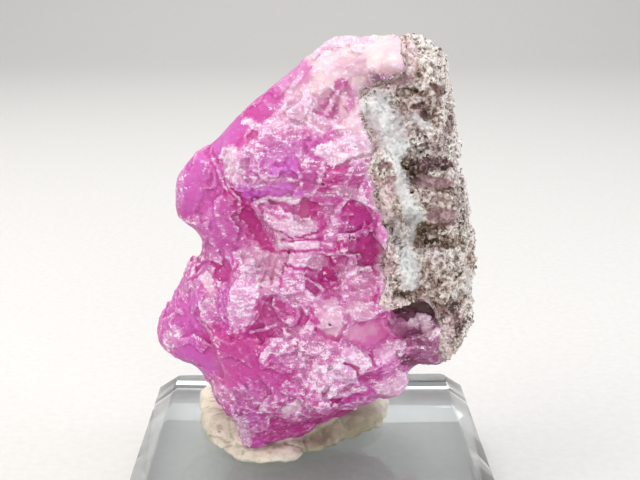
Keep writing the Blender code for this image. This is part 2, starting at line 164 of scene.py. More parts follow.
def sample(values, block, points):
    # reads a block between its voxels
    def work(places):
        place = np.clip(places / block["voxel"] - block["first"], 0.0, np.array(block["shape"]) - 1.001).T
        cell = place.astype(np.int32)
        return betweenCells(cell, (place - cell).astype(np.float32), values, None)

    return inParts(work, points)


def outwardAt(values, block, points):
    step = block["voxel"]
    rises = [sample(values, block, points + step * axis) - sample(values, block, points - step * axis)
             for axis in np.eye(3)]
    return normalised(np.stack(rises, axis=1))


def placesOf(block, chosen):
    return ((np.argwhere(chosen) + block["first"]) * block["voxel"]).astype(np.float32)


# Broken faces, grains and pits: seeds strewn over a surface, and what lies nearest to them

def strewnSeeds(points, values, block, size, seed):
    # one seed in each cell of a loose lattice, brought onto the surface
    rng = np.random.default_rng(seed)
    low = points.min(axis=0) - 2.0 * size
    count = np.ceil((points.max(axis=0) - low) / size).astype(int) + 3
    cells = np.argwhere(np.ones(count, bool))
    centres = low + (cells + rng.uniform(0.12, 0.88, cells.shape)) * size
    depth = sample(values, block, centres)
    outward = outwardAt(values, block, centres)
    places = (centres - depth[:, None] * outward).astype(np.float32)
    far = np.where(np.abs(depth) > size, offSurface, 0.0).astype(np.float32)
    return dict(low=low, count=count, size=size, places=places, outward=outward, far=far, rng=rng)


def nearestSeeds(points, seeds, stray):
    # the nearest two seeds to each point, and the distance to the first
    _, rows, columns = seeds["count"]
    x, y, z = np.ascontiguousarray(seeds["places"].T)

    def work(places, strays):
        home = np.floor((places - seeds["low"]) / seeds["size"]).astype(np.int32).T
        home = ((home[0] * rows + home[1]) * columns + home[2]).astype(np.int32)
        placeX, placeY, placeZ = (places + strays).astype(np.float32).T
        best = np.full(len(places), farAway, np.float32)
        second = best.copy()
        first = np.zeros(len(places), np.int32)
        other = first.copy()
        for i, j, k in itertools.product((-1, 0, 1), repeat=3):
            index = home + np.int32((i * rows + j) * columns + k)
            apart = ((placeX - x[index]) ** 2 + (placeY - y[index]) ** 2 + (placeZ - z[index]) ** 2
                     + seeds["far"][index])
            closer = apart < best
            between = ~closer & (apart < second)
            second = np.where(closer, best, np.where(between, apart, second))
            other = np.where(closer, first, np.where(between, index, other))
            best = np.where(closer, apart, best)
            first = np.where(closer, index, first)
        return first, other, np.sqrt(best)

    return inParts(work, points, stray)


def cleavageNormals(axis, angle):
    # three directions at one angle from the crystal's axis, the first of them turned to the viewer
    axis = normalised(np.array(axis))
    side = normalised(np.array((0.0, -1.0, 0.0)) - axis * -axis[1])
    across = np.cross(axis, side)
    turns = [math.radians(120.0 * i) for i in range(3)]
    return np.array([axis * math.cos(angle) + (side * math.cos(t) + across * math.sin(t)) * math.sin(angle)
                     for t in turns])


crystalAxis = (-0.42, -0.74, 0.52)
cleavageAngle = 44.6  # degrees between a calcite crystal's axis and each cleavage's normal
cleavage = cleavageNormals(crystalAxis, math.radians(cleavageAngle))


def brokenFaces(points, values, block, face):
    # distances to flat faces that each lean their own way, many of them along the cleavage,
    # and a number from 0 to 1 for each face
    seeds = strewnSeeds(points, values, block, face["size"], face["seed"])
    rng, number = seeds["rng"], len(seeds["places"])
    lean = seeds["outward"] + rng.normal(0.0, face["tilt"], (number, 3))
    along = normalised(lean) @ cleavage.T
    nearest = np.abs(along).argmax(axis=1)
    snapped = cleavage[nearest] * np.sign(along[np.arange(number), nearest])[:, None]
    snap = (rng.uniform(0.0, 1.0, (number, 1)) < face["cleaved"]) * rng.uniform(0.3, 0.8, (number, 1))
    snap *= smoothstep(0.7, 0.95, np.abs(along).max(axis=1, keepdims=True))  # only where it is nearly so
    planes = normalised(lean * (1.0 - snap) + snapped * snap).astype(np.float32)
    label = rng.uniform(0.0, 1.0, number).astype(np.float32)
    stray = face["stray"] * np.stack(
        [latticeNoise(points, face["size"] * 0.6, face["seed"] + i) for i in (1, 2, 3)], axis=1)
    first, other, _ = nearestSeeds(points, seeds, stray)
    plane, nextPlane = [np.einsum("ij,ij->i", points - seeds["places"][i], planes[i]) for i in (first, other)]
    # most neighbours meet in a ridge, the others in a valley
    ridge = (label[first] + label[other]) % 1.0 < face["ridges"]
    return np.where(ridge, np.maximum(plane, nextPlane), np.minimum(plane, nextPlane)), label[first]


def lumps(points, values, block, lump):
    # distances to lumps or pits, their middles sunk into the surface or standing out of it
    seeds = strewnSeeds(points, values, block, lump["size"], lump["seed"])
    rng, number = seeds["rng"], len(seeds["places"])
    radius = rng.uniform(*lump["radius"], number).astype(np.float32)
    radius[rng.uniform(0.0, 1.0, number) > lump["share"]] = -1.0
    seeds["places"] += (seeds["outward"] * (lump["out"] * radius)[:, None]).astype(np.float32)
    stray = lump["stray"] * np.stack(
        [latticeNoise(points, lump["size"] * 0.4, lump["seed"] + i) for i in (1, 2, 3)], axis=1)
    first, _, best = nearestSeeds(points, seeds, stray)
    return best - radius[first]


# Marks: named places on the front of the stone, each with the values that it sets there

def sheetPlaces(points):
    # where the points appear on the upright sheet, as (x, z)
    eye = np.array(viewpoint["place"], np.float32)
    scale = (sheetY - eye[1]) / (points[:, 1] - eye[1])
    return np.stack([eye[i] + (points[:, i] - eye[i]) * scale for i in (0, 2)], axis=1)


def spotOnSheet(across, down):
    # the (x, z) place on the sheet behind a spot of the view, to a tenth of a millimetre
    wide, high = viewpoint["picture"]
    focal = viewpoint["lens"] / viewpoint["sensor"] * wide
    pitch, turn = math.radians(viewpoint["pitch"]), math.radians(viewpoint["turn"])
    right, up = (across - wide / 2) / focal, (high / 2 - down) / focal
    ahead = math.cos(pitch) - up * math.sin(pitch)
    rise = math.sin(pitch) + up * math.cos(pitch)
    eye = viewpoint["place"]
    far = (sheetY - eye[1]) / (right * math.sin(turn) + ahead * math.cos(turn))
    along = right * math.cos(turn) - ahead * math.sin(turn)
    return round(eye[0] + far * along, 1), round(eye[2] + far * rise, 1)


def pathOf(mark):
    # the middle line of a mark on the sheet, from its spots in the view or as it is given
    return [spotOnSheet(*spot) for spot in mark["spots"]] if "spots" in mark else mark["path"]


def distanceToPath(places, path):
    path = np.array(path, np.float32)
    best = np.full(len(places), farAway, np.float32)
    for start, end in zip(path[:-1], path[1:]):
        way = end - start
        share = np.clip((places - start) @ way / (way @ way), 0.0, 1.0)
        gap = places - start - share[:, None] * way
        best = np.minimum(best, np.hypot(gap[:, 0], gap[:, 1]))
    return best


def paint(points, layers, marks, widths=(0.0, math.inf)):
    # brings the layers to each mark's values inside it, with a ragged edge, for marks of these widths
    places = sheetPlaces(points)
    for i, (size, depth) in enumerate(markEdges):
        places += depth * np.stack([latticeNoise(points, size, 70 + 2 * i + k) for k in (0, 1)], axis=1)
    front = 1.0 - smoothstep(*markDepth, points[:, 1])
    seen = np.flatnonzero(front > 0.0)
    x, z = np.ascontiguousarray(places[seen].T)
    for mark in marks.values():
        path, width = np.array(pathOf(mark)), mark["width"]
        used = [name for name in layers if name in mark]
        if not used or not widths[0] <= width < widths[1]:
            continue
        full, gone = (share * width for share in markFade)
        (left, bottom), (right, top) = path.min(axis=0) - gone, path.max(axis=0) + gone
        near = seen[(x > left) & (x < right) & (z > bottom) & (z < top)]
        strength = 1.0 - smoothstep(full, gone, distanceToPath(places[near], path))
        strength *= front[near]
        for name in used:
            layers[name][near] += (mark[name] - layers[name][near]) * strength
    return layers


def paintByChips(points, chips, layersAt, marks, shape):
    # broad marks take or leave whole chips of the stone, so their borders are crisp and angular;
    # narrow marks are drawn over them as they are
    size, soft, narrow = shape["chips"]["size"], shape["chips"]["soft"], shape["chips"]["narrow"]
    wide = paint(chips["places"], layersAt(chips["places"]), marks, (narrow, math.inf))
    stray = size * 0.12 * np.stack([latticeNoise(points, size * 0.5, 90 + i) for i in range(3)], axis=1)
    first, *_ = nearestSeeds(points, chips, stray)
    layers = paint(points, layersAt(points), marks, (narrow, math.inf))
    for name in layers:
        layers[name] += (wide[name][first] - layers[name]) * (1.0 - soft)
    return paint(points, layers, marks, (0.0, narrow))


# Meshes

def addObject(name, data):
    obj = bpy.data.objects.new(name, data)
    bpy.context.scene.collection.objects.link(obj)
    return obj


def largestBody(faces, number):
    # numbers of the faces that belong to the biggest connected body
    label = np.arange(number)
    while True:
        lowest = label.copy()
        np.minimum.at(lowest, faces.ravel(), np.repeat(label[faces].min(axis=1), faces.shape[1]))
        lowest = lowest[lowest]
        if (lowest == label).all():
            break
        label = lowest
    body = label[faces[:, 0]]
    return np.flatnonzero(body == np.bincount(body).argmax())


mergeBehind = 1.0  # faces behind this Y are merged first
mergeInFront = 0.35  # and this share as readily in front of it


def meshFromBlock(name, values, block, triangles):
    # the mesh where the distances are zero, with fewer faces behind than in front
    voxel = block["voxel"]
    farthest = 3.0 * voxel
    grid = openvdb.FloatGrid(farthest)
    grid.transform = openvdb.createLinearTransform(voxelSize=voxel)
    grid.copyFromArray(np.clip(values, -farthest, farthest).astype(np.float32),
                       ijk=tuple(int(i) for i in block["first"]))
    points, quads = grid.convertToQuads(0.0)
    quads = quads.astype(np.int64)
    quads = quads[largestBody(quads, len(points))]
    used, corners = np.unique(quads, return_inverse=True)
    mesh = bpy.data.meshes.new(name)
    mesh.from_pydata(points[used] * mm, [], corners.reshape(-1, 4))
    obj = addObject(name, mesh)
    if 2 * len(quads) > triangles:
        decimate = obj.modifiers.new("fewer faces", "DECIMATE")
        decimate.ratio = triangles / (2 * len(quads))
        group = obj.vertex_groups.new(name="may be merged")
        everyone = np.arange(len(used))
        hidden = points[used][:, 1] > mergeBehind
        group.add(everyone[hidden].tolist(), 1.0, "REPLACE")
        group.add(everyone[~hidden].tolist(), mergeInFront, "REPLACE")
        decimate.vertex_group = group.name
        decimate.vertex_group_factor = 1.0
        fixModifiers(obj)
    obj.data.shade_smooth()
    return obj


def fixModifiers(obj):
    graph = bpy.context.evaluated_depsgraph_get()
    mesh = bpy.data.meshes.new_from_object(obj.evaluated_get(graph))
    old = obj.data
    obj.modifiers.clear()
    obj.data = mesh
    obj.vertex_groups.clear()
    bpy.data.meshes.remove(old)
    mesh.name = obj.name


def vertexPlaces(mesh):
    flat = np.empty(len(mesh.vertices) * 3, np.float32)
    mesh.vertices.foreach_get("co", flat)
    return flat.reshape(-1, 3) / mm


def setLayers(mesh, layers):
    for name, values in layers.items():
        attribute = mesh.attributes.new(name, "FLOAT", "POINT")
        attribute.data.foreach_set("value", np.clip(values, 0.0, 1.0).astype(np.float32))


def dress(obj, node, material):
    obj.data.materials.clear()
    obj.data.materials.append(material)
    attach(obj, "root")
    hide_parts(node)
    print(f"{obj.name}: {sum(len(face.vertices) - 2 for face in obj.data.polygons)} triangles")


# Materials

mathNode, rangeNode, mixNode = "ShaderNodeMath", "ShaderNodeMapRange", "ShaderNodeMix"
noiseNode, layerNode, bumpNode = "ShaderNodeTexNoise", "ShaderNodeAttribute", "ShaderNodeBump"


def newMaterial(name):
    material = bpy.data.materials.new(name)
    material.use_nodes = True
    return material, material.node_tree, material.node_tree.nodes["Principled BSDF"]


def addNode(tree, kind, inputs=None, output=None, **settings):
    # a node with its settings, and a value or a link for each input; returns the node or one of its outputs
    node = tree.nodes.new(kind)
    for name, value in settings.items():
        setattr(node, name, value)
    for key, value in (inputs or {}).items():
        if isinstance(value, bpy.types.NodeSocket):
            tree.links.new(value, node.inputs[key])
        else:
            node.inputs[key].default_value = value
    return node if output is None else node.outputs[output]


# Marks on the calcite. spots say where a mark's middle line runs in the view, in pixels; path gives it as
# (x, z) on the sheet instead. width is half the mark's width; lift raises or sinks the surface, in mm.
# The layers run from 0 to 1: frost is bruised white, deep and violet are shades of the pink, pale is cream,
# rust is iron stain, and smooth keeps the small broken faces away. The gridded glint uses frost for a painted
# reflection, and a few marks use rust for painted shade under overhangs.

calciteMarks = {
    "pale crown": dict(width=1.7, pale=1, frost=0.35, deep=0, smooth=0.6,
        spots=[(318, 62), (338, 52), (372, 48), (398, 44)]),
    "pale crown, low": dict(width=1.5, pale=0.95, frost=0.45, deep=0, smooth=0.6,
        spots=[(302, 82), (330, 72), (352, 84), (358, 112)]),
    "peach patch": dict(width=0.9, pale=0.75, rust=0.18, frost=0.15, smooth=0.5,
        spots=[(345, 66), (360, 62)]),
    "white crown edge": dict(width=0.5, frost=0.85, pale=0.6, spots=[(322, 50), (345, 42), (372, 42)]),
    "edge band": dict(width=1.3, smooth=1, frost=0.02, deep=0.5, violet=0.15, pale=0,
        spots=[(300, 70), (276, 94), (252, 118), (226, 142)]),
    "edge band, bright end": dict(width=0.9, smooth=0.8, frost=0.12, deep=0.05, violet=0.35, pale=0.25,
        spots=[(300, 68), (286, 84)]),
    "edge band, magenta": dict(width=0.9, deep=0.5, smooth=1, frost=0, violet=0.2,
        spots=[(270, 98), (264, 116)]),
    "edge band, low magenta": dict(width=0.7, deep=0.6, smooth=0.9, frost=0.05,
        spots=[(256, 132), (238, 146)]),
    "edge band, lilac end": dict(width=0.7, violet=0.4, deep=0.1, smooth=1, frost=0.05, pale=0.05,
        spots=[(236, 128), (218, 146)]),
    "fleck on the band": dict(width=0.4, frost=0.8, lift=0.08, spots=[(245, 123), (255, 127)]),
    "small fleck on the band": dict(width=0.24, frost=0.56, spots=[(267, 104), (270, 106)]),
    "fleck under the band": dict(width=0.3, frost=0.68, spots=[(262, 128), (266, 124)]),
    "band ridge": dict(width=0.3, frost=0.6, lift=0.12,
        spots=[(302, 74), (290, 92), (281, 110), (268, 124), (254, 146), (236, 158)]),
    "pale slope": dict(width=1, pale=0.55, frost=0.45, spots=[(296, 96), (306, 110), (318, 124)]),
    "rose recess": dict(width=0.8, deep=0.5, pale=0.1, frost=0.12, lift=-0.2,
        spots=[(342, 86), (334, 102), (320, 116)]),
    "rose recess rib": dict(width=0.2, frost=0.5, pale=0.5, lift=0.05, spots=[(336, 94), (326, 112)]),
    "white lip of the recess": dict(width=0.35, frost=0.76, pale=0.4, lift=0.25,
        spots=[(304, 100), (308, 116), (322, 122), (334, 126)]),
    "pale middle": dict(width=1.2, pale=0.8, frost=0.45, deep=0,
        spots=[(352, 104), (354, 124), (366, 132)]),
    "rose by the pale middle": dict(width=0.4, deep=0.3, pale=0.2, frost=0.25,
        spots=[(347, 90), (352, 98), (350, 108)]),
    "top knob": dict(width=1.6, pale=1, frost=0.15, smooth=0.9, deep=0, lift=0, violet=0.12,
        spots=[(384, 58), (394, 56)]),
    # painted shade and rust: the shadow under the top knob, its hollow raised and darkened with the rust
    # layer
    "rust and shade under the top knob": dict(width=0.7, rust=0.8, pale=0.1, frost=0, smooth=0.5, lift=0.9,
        spots=[(380, 82), (396, 82)]),
    "rust and shade under the top knob, left": dict(width=0.35, rust=0.6, frost=0.1, lift=0.3, spots=[(370, 72), (379, 84)]),
    "granular slope": dict(width=1.4, frost=0.5, deep=0.28, violet=0.2,
        spots=[(285, 112), (300, 136), (286, 150)]),
    "pink patch": dict(width=1.1, frost=0.22, deep=0.42, violet=0.3,
        spots=[(308, 140), (322, 138), (300, 152)]),
    "pink patch, low": dict(width=0.8, frost=0.3, deep=0.45, spots=[(300, 168), (316, 160)]),
    "white ridge": dict(width=0.6, frost=0.95, pale=0.4, deep=0, lift=0.3,
        spots=[(320, 153), (336, 144), (352, 140), (372, 142)]),
    "white ridge, foot": dict(width=0.5, frost=0.8, pale=0.65, lift=0.1,
        spots=[(332, 160), (352, 157), (378, 150)]),
    "rose line under the ridge": dict(width=0.2, rust=0.35, deep=0.45, frost=0.1, lift=-0.25,
        spots=[(336, 166), (352, 160), (376, 152)]),
    "frosted corner": dict(width=0.9, frost=0.97, violet=0.1, deep=0, lift=0.2, pale=0.35,
        spots=[(232, 158), (236, 172)]),
    "frosted corner, tail": dict(width=0.4, frost=0.68, lift=0.1,
        spots=[(230, 176), (246, 184), (262, 186)]),
    "shoulder": dict(width=1.2, frost=0.42, violet=0.55, deep=0.1,
        spots=[(254, 164), (274, 160), (292, 154)]),
    "shoulder, violet": dict(width=0.8, frost=0.1, violet=0.85, deep=0.35, smooth=0.4,
        spots=[(276, 170), (290, 168)]),
    "shoulder rib": dict(width=0.24, frost=0.53, lift=0.15, spots=[(244, 158), (256, 152), (266, 146)]),
    "shoulder rib, low": dict(width=0.24, frost=0.53, lift=0.15,
        spots=[(246, 180), (262, 178), (284, 180), (298, 176)]),
    "shoulder flecks": dict(width=0.4, frost=0.72, spots=[(300, 158), (308, 164)]),
    "undercut": dict(width=0.7, violet=0.95, deep=0.3, frost=0.04, smooth=0.8,
        spots=[(242, 191), (262, 192), (286, 190), (300, 188)]),
    "magenta block": dict(width=1.1, deep=0.72, frost=0.06, violet=0.1, smooth=0.5,
        spots=[(324, 182), (340, 174)]),
    "magenta block, left": dict(width=0.7, deep=0.6, frost=0.18, violet=0.3,
        spots=[(296, 182), (310, 180)]),
    "rib of the block": dict(width=0.22, frost=0.59, lift=0.15, spots=[(320, 160), (322, 174), (312, 192)]),
    "white edge of the block": dict(width=0.26, frost=0.56, lift=0.15,
        spots=[(352, 162), (348, 178), (338, 192)]),
    "white foot of the block": dict(width=0.22, frost=0.53, spots=[(304, 194), (322, 194), (340, 196)]),
    "upper lobe": dict(width=1.9, smooth=1, frost=0.08, violet=0.38, deep=0.1,
        spots=[(196, 170), (192, 196)]),
    "upper lobe root": dict(width=1, smooth=0.8, frost=0.15, violet=0.3, deep=0.2,
        spots=[(214, 166), (214, 196)]),
    "lobe seam": dict(width=0.16, deep=0.55, frost=0, lift=-0.2,
        spots=[(206, 154), (214, 168), (210, 186)]),
    "lobe seam, right": dict(width=0.18, frost=0.5, lift=0.12, spots=[(214, 158), (220, 176), (226, 188)]),
    "lobe rim": dict(width=0.22, frost=0.4, spots=[(206, 148), (186, 160), (179, 176), (178, 204)]),
    "wall": dict(width=2.2, smooth=0.95, frost=0.22, violet=0.25, deep=0.18,
        spots=[(216, 222), (226, 240)]),
    "scratch on the wall": dict(width=0.18, frost=0.56, spots=[(217, 214), (221, 224), (226, 236)]),
    "crease": dict(width=0.7, deep=0.85, frost=0.02, violet=0.1, smooth=0.8, lift=-0.35,
        spots=[(230, 192), (246, 212), (262, 236), (271, 258)]),
    "crease, low": dict(width=0.5, deep=0.65, frost=0.1, lift=-0.2, spots=[(271, 256), (275, 274)]),
    "crease lip": dict(width=0.18, frost=0.37, lift=0.12, spots=[(226, 186), (236, 198), (242, 212)]),
    "crease rib": dict(width=0.16, frost=0.34, violet=0.3, spots=[(250, 200), (262, 220), (270, 240)]),
    "shelf": dict(width=0.9, frost=0.18, pale=0.1, deep=0.3, spots=[(266, 206), (286, 208), (304, 212)]),
    "shelf rim": dict(width=0.22, frost=0.8, pale=0.5, rust=0.06, lift=0.22,
        spots=[(257, 201), (270, 198), (286, 198), (300, 202)]),
    "shelf rib": dict(width=0.18, frost=0.56, lift=0.15,
        spots=[(262, 208), (280, 213), (300, 217), (314, 222)]),
    "shelf rib, low": dict(width=0.18, frost=0.56, pale=0.5, lift=0.15,
        spots=[(268, 214), (276, 222), (290, 226)]),
    "hollow by the shelf": dict(width=0.9, deep=1, frost=0.02, smooth=0.5, lift=0,
        spots=[(312, 202), (308, 214)]),
    "round hollow": dict(width=1.2, deep=0.95, frost=0.02, smooth=0.8, lift=-0.35,
        spots=[(354, 210), (362, 222)]),
    "rim of the round hollow": dict(width=0.22, frost=0.53, lift=0.15,
        spots=[(338, 212), (346, 200), (362, 198), (378, 208)]),
    "bridge between hollows": dict(width=0.6, frost=0.5, deep=0.35,
        spots=[(330, 208), (334, 226), (330, 242)]),
    "deep hollow": dict(width=1.3, deep=1, rust=0.05, frost=0, smooth=0.8, lift=-0.3,
        spots=[(366, 246), (374, 254)]),
    "deep hollow, left": dict(width=0.8, deep=0.9, frost=0.1, smooth=0.3, lift=-0.2,
        spots=[(340, 250), (352, 240)]),
    "low hollow": dict(width=1.1, deep=1, frost=0, smooth=0.7, lift=-0.35, spots=[(322, 262), (330, 272)]),
    "lip over the low hollow": dict(width=0.2, frost=0.5, lift=0.18,
        spots=[(316, 250), (332, 254), (348, 252)]),
    "crack in the low hollow": dict(width=0.12, frost=0.5, spots=[(330, 262), (337, 272), (342, 282)]),
    "stair, upper": dict(width=1, frost=0.72, pale=0.4, deep=0.1, spots=[(282, 228), (308, 228)]),
    "stair, middle": dict(width=0.9, frost=0.75, pale=0.5, deep=0.08, spots=[(284, 244), (310, 244)]),
    "stair, lower": dict(width=0.9, frost=0.55, pale=0.25, deep=0.2, spots=[(290, 258), (316, 262)]),
    "stair tread 1": dict(width=0.15, deep=0.7, frost=0, pale=0, lift=-0.22,
        spots=[(276, 232), (292, 236), (318, 232)]),
    "stair tread 2": dict(width=0.15, deep=0.6, frost=0, pale=0, lift=-0.22,
        spots=[(282, 241), (300, 238), (322, 240)]),
    "stair tread 3": dict(width=0.15, deep=0.7, frost=0, pale=0, lift=-0.22,
        spots=[(280, 252), (298, 254), (318, 250)]),
    "stair tread 4": dict(width=0.14, deep=0.6, frost=0.1, pale=0, lift=-0.2,
        spots=[(284, 264), (302, 268), (316, 270)]),
    "upright flutes": dict(width=1, frost=0.55, pale=0.3, deep=0.15, spots=[(274, 264), (266, 284)]),
    "flute 1": dict(width=0.14, deep=0.6, frost=0, lift=-0.2, spots=[(268, 262), (261, 288)]),
    "flute 2": dict(width=0.14, deep=0.6, frost=0, lift=-0.2, spots=[(276, 262), (270, 288)]),
    "flute 3": dict(width=0.14, deep=0.6, frost=0.1, lift=-0.2, spots=[(283, 268), (279, 286)]),
    "corner facet": dict(width=0.9, pale=0.45, violet=0.35, frost=0.3, deep=0, smooth=0.6, lift=0.3,
        spots=[(250, 258), (260, 256)]),
    "corner facet edge": dict(width=0.18, frost=0.59, lift=0.15,
        spots=[(240, 252), (254, 248), (267, 252), (256, 276)]),
    "pit in the wall": dict(width=0.3, deep=0.8, frost=0, lift=-0.3, spots=[(212, 264), (219, 267)]),
    "frosted ledge": dict(width=1, frost=0.92, violet=0.12, pale=0.1, deep=0, lift=0.5,
        spots=[(248, 274), (238, 292), (236, 310)]),
    "frosted ledge, right": dict(width=0.7, frost=0.85, violet=0.1, deep=0, lift=0.3,
        spots=[(254, 286), (248, 304), (246, 318)]),
    "frosted ledge, foot": dict(width=0.8, frost=0.45, violet=0.15, deep=0.25,
        spots=[(236, 326), (256, 330)]),
    "shadow under the ledge": dict(width=0.4, deep=0.75, frost=0.05, lift=-0.3,
        spots=[(232, 338), (250, 336), (262, 326)]),
    "magenta facets": dict(width=1.2, deep=0.62, frost=0.06, violet=0.1, smooth=0.6,
        spots=[(262, 310), (280, 308)]),
    "magenta facets, right": dict(width=0.8, deep=0.5, frost=0.2, violet=0.1,
        spots=[(292, 312), (302, 320)]),
    "facet edge 1": dict(width=0.15, frost=0.43, lift=0.15, spots=[(256, 300), (272, 304), (288, 318)]),
    "facet edge 2": dict(width=0.16, frost=0.37, violet=0.3, lift=0.15,
        spots=[(252, 334), (272, 326), (292, 320)]),
    "white arcs": dict(width=1.1, frost=0.6, deep=0.2, violet=0.1,
        spots=[(270, 280), (290, 290), (306, 302)]),
    "arc 1": dict(width=0.18, frost=0.62, lift=0.2, spots=[(262, 284), (276, 290), (296, 304), (312, 318)]),
    "arc 2": dict(width=0.16, frost=0.62, lift=0.2, spots=[(276, 272), (292, 280), (310, 296), (318, 310)]),
    "arc 3": dict(width=0.16, frost=0.59, lift=0.2, spots=[(296, 274), (308, 280), (322, 288)]),
    "red middle": dict(width=0.9, deep=0.7, frost=0.22, spots=[(312, 284), (330, 292)]),
    "pink streaks": dict(width=1.2, frost=0.36, deep=0.3, pale=0.15,
        spots=[(350, 272), (366, 284), (360, 298)]),
    "streak 1": dict(width=0.17, frost=0.59, lift=0.12, spots=[(340, 276), (356, 270), (372, 268)]),
    "streak 2": dict(width=0.17, frost=0.59, lift=0.12, spots=[(336, 288), (352, 282), (366, 282)]),
    "streak 3": dict(width=0.18, frost=0.56, lift=0.12, spots=[(372, 276), (382, 286), (384, 300)]),
    "pink by the rock": dict(width=0.8, frost=0.6, pale=0.45, deep=0.05, spots=[(388, 262), (390, 286)]),
    "flecks by the rock": dict(width=0.4, frost=0.72, pale=0.5, spots=[(378, 268), (386, 274)]),
    "lower lobe": dict(width=2.2, smooth=0.85, frost=0.1, violet=0.45, deep=0.2,
        spots=[(184, 306), (182, 332)]),
    "lower lobe, edge": dict(width=0.9, violet=0.3, frost=0.24, smooth=0.8, spots=[(172, 302), (166, 330)]),
    "rough strip": dict(width=0.8, frost=0.45, violet=0.25, rust=0.06, deep=0,
        spots=[(214, 258), (198, 276), (184, 292)]),
    "rough strip ribs": dict(width=0.15, deep=0.4, rust=0.1, frost=0, lift=-0.18,
        spots=[(208, 262), (196, 270)]),
    "rough strip ribs 2": dict(width=0.15, deep=0.4, rust=0.1, frost=0, lift=-0.18,
        spots=[(204, 272), (188, 282)]),
    # painted reflection: a white glint drawn with the frost layer, crossed by three darker bars
    "gridded glint": dict(width=0.6, frost=1, deep=0, smooth=1, lift=0.08, pale=0.7,
        spots=[(206, 280), (208, 290)]),
    "gridded glint, low": dict(width=0.5, frost=0.9, deep=0, smooth=0.4, spots=[(206, 302), (205, 308)]),
    "glint bar 1": dict(width=0.1, frost=0.1, violet=0.3, spots=[(201, 286), (213, 284)]),
    "glint bar 2": dict(width=0.1, frost=0.1, violet=0.3, spots=[(201, 292), (213, 290)]),
    "glint bar 3": dict(width=0.1, frost=0.1, violet=0.3, spots=[(207, 277), (208, 294)]),
    "lilac strip": dict(width=0.9, violet=0.4, frost=0.2, deep=0.1, smooth=0.5,
        spots=[(222, 292), (224, 318)]),
    "blotch on the lobe": dict(width=0.7, frost=0.75, violet=0.1, spots=[(174, 332), (172, 344)]),
    "line on the lobe": dict(width=0.18, frost=0.53, lift=0.1, spots=[(204, 320), (212, 338)]),
    "lobe facet line": dict(width=0.15, frost=0.31, violet=0.3, spots=[(184, 306), (200, 318), (204, 330)]),
    "smooth face": dict(width=2.2, deep=0.48, frost=0.02, violet=0.12, smooth=1,
        spots=[(222, 350), (250, 352), (240, 378)]),
    "smooth face, upper": dict(width=1.2, deep=0.6, frost=0.04, violet=0.05, smooth=0.8,
        spots=[(214, 336), (236, 344), (262, 338)]),
    "smooth face, left": dict(width=1.2, deep=0.2, frost=0.06, violet=0.42, smooth=1,
        spots=[(186, 350), (206, 366)]),
    "smooth face line 1": dict(width=0.13, frost=0.31, spots=[(232, 368), (246, 358), (258, 352)]),
    "smooth face line 2": dict(width=0.12, frost=0.4, spots=[(214, 372), (226, 390), (236, 398)]),
    "smooth face line 3": dict(width=0.13, frost=0.34, spots=[(236, 374), (254, 380), (266, 376)]),
    "white edge of the middle": dict(width=0.34, frost=0.68, lift=0.2,
        spots=[(261, 359), (268, 350), (276, 342), (288, 336)]),
    "sugary middle": dict(width=1.5, frost=0.5, violet=0.2, deep=0.22,
        spots=[(286, 352), (306, 362), (290, 376)]),
    "sugary middle, low": dict(width=1.2, frost=0.32, violet=0.25, deep=0.32,
        spots=[(282, 392), (306, 394)]),
    "sugary middle, right": dict(width=1.1, frost=0.42, violet=0.12, deep=0.36,
        spots=[(314, 344), (334, 350)]),
    "fleck bed": dict(width=0.4, frost=0.8, lift=0.12, spots=[(302, 333), (310, 328)]),
    "fleck bed 2": dict(width=0.3, frost=0.76, lift=0.1, spots=[(314, 348), (324, 352.1)]),
    "fleck bed 3": dict(width=0.3, frost=0.72, spots=[(290, 362), (300, 358), (304, 366)]),
    "pink facet in the middle": dict(width=0.8, frost=0.08, deep=0.42, violet=0.2, smooth=0.6,
        spots=[(272, 384), (286, 376)]),
    "pale knob": dict(width=1.25, pale=0.5, violet=0.35, frost=0.35, deep=0, smooth=0.6, lift=0.45,
        spots=[(329, 314), (331, 326)]),
    "pale knob crown": dict(width=0.5, frost=0.9, pale=0.5, spots=[(326, 306), (334, 304)]),
    "spot on the knob": dict(width=0.11, rust=1, frost=0, lift=-0.15, spots=[(329, 325), (330, 326)]),
    "dark seat of the knob": dict(width=0.24, deep=0.9, frost=0, lift=-0.45,
        spots=[(316, 330), (324, 338), (338, 338), (345, 326)]),
    "second knob": dict(width=0.8, pale=0.35, frost=0.4, deep=0.05, lift=0.4,
        spots=[(354, 312), (368, 312)]),
    "second knob crown": dict(width=0.22, frost=0.62, pale=0.4, lift=0.1,
        spots=[(344, 314), (354, 306), (370, 304)]),
    "streaks under the streaks": dict(width=0.6, frost=0.4, deep=0.25,
        spots=[(322, 298), (340, 300), (352, 300)]),
    "rose face": dict(width=1.3, smooth=1, frost=0.03, deep=0.3, violet=0.05, pale=0.12,
        spots=[(362, 334), (388, 326), (404, 322)]),
    "rose face, pale": dict(width=0.7, smooth=0.9, frost=0.12, pale=0.35, deep=0.1,
        spots=[(352, 332), (370, 328)]),
    # painted shade and rust: the shadowed cavity under the rock's overhang, darkened with the rust layer
    # besides being sunk
    "shade and rust at the rock": dict(width=1.1, rust=1, smooth=0.8, frost=0, deep=0.1, lift=-0.6,
        spots=[(402, 308), (424, 308), (440, 314)]),
    "shade and rust at the rock, low": dict(width=0.7, rust=0.45, deep=0.1, smooth=0.8, frost=0, pale=0.2,
        spots=[(394, 322), (408, 332)]),
    # painted shade under the corner knob, in rust and deep magenta
    "dark under the knob": dict(width=0.6, rust=0.7, deep=0.45, frost=0.04, smooth=0.6,
        spots=[(400, 356), (414, 362)]),
    "corner knob": dict(width=2, pale=0.1, rust=0.6, violet=0, deep=0.1, frost=0.12, smooth=0.6, lift=0.15,
        spots=[(424, 340), (434, 344)]),
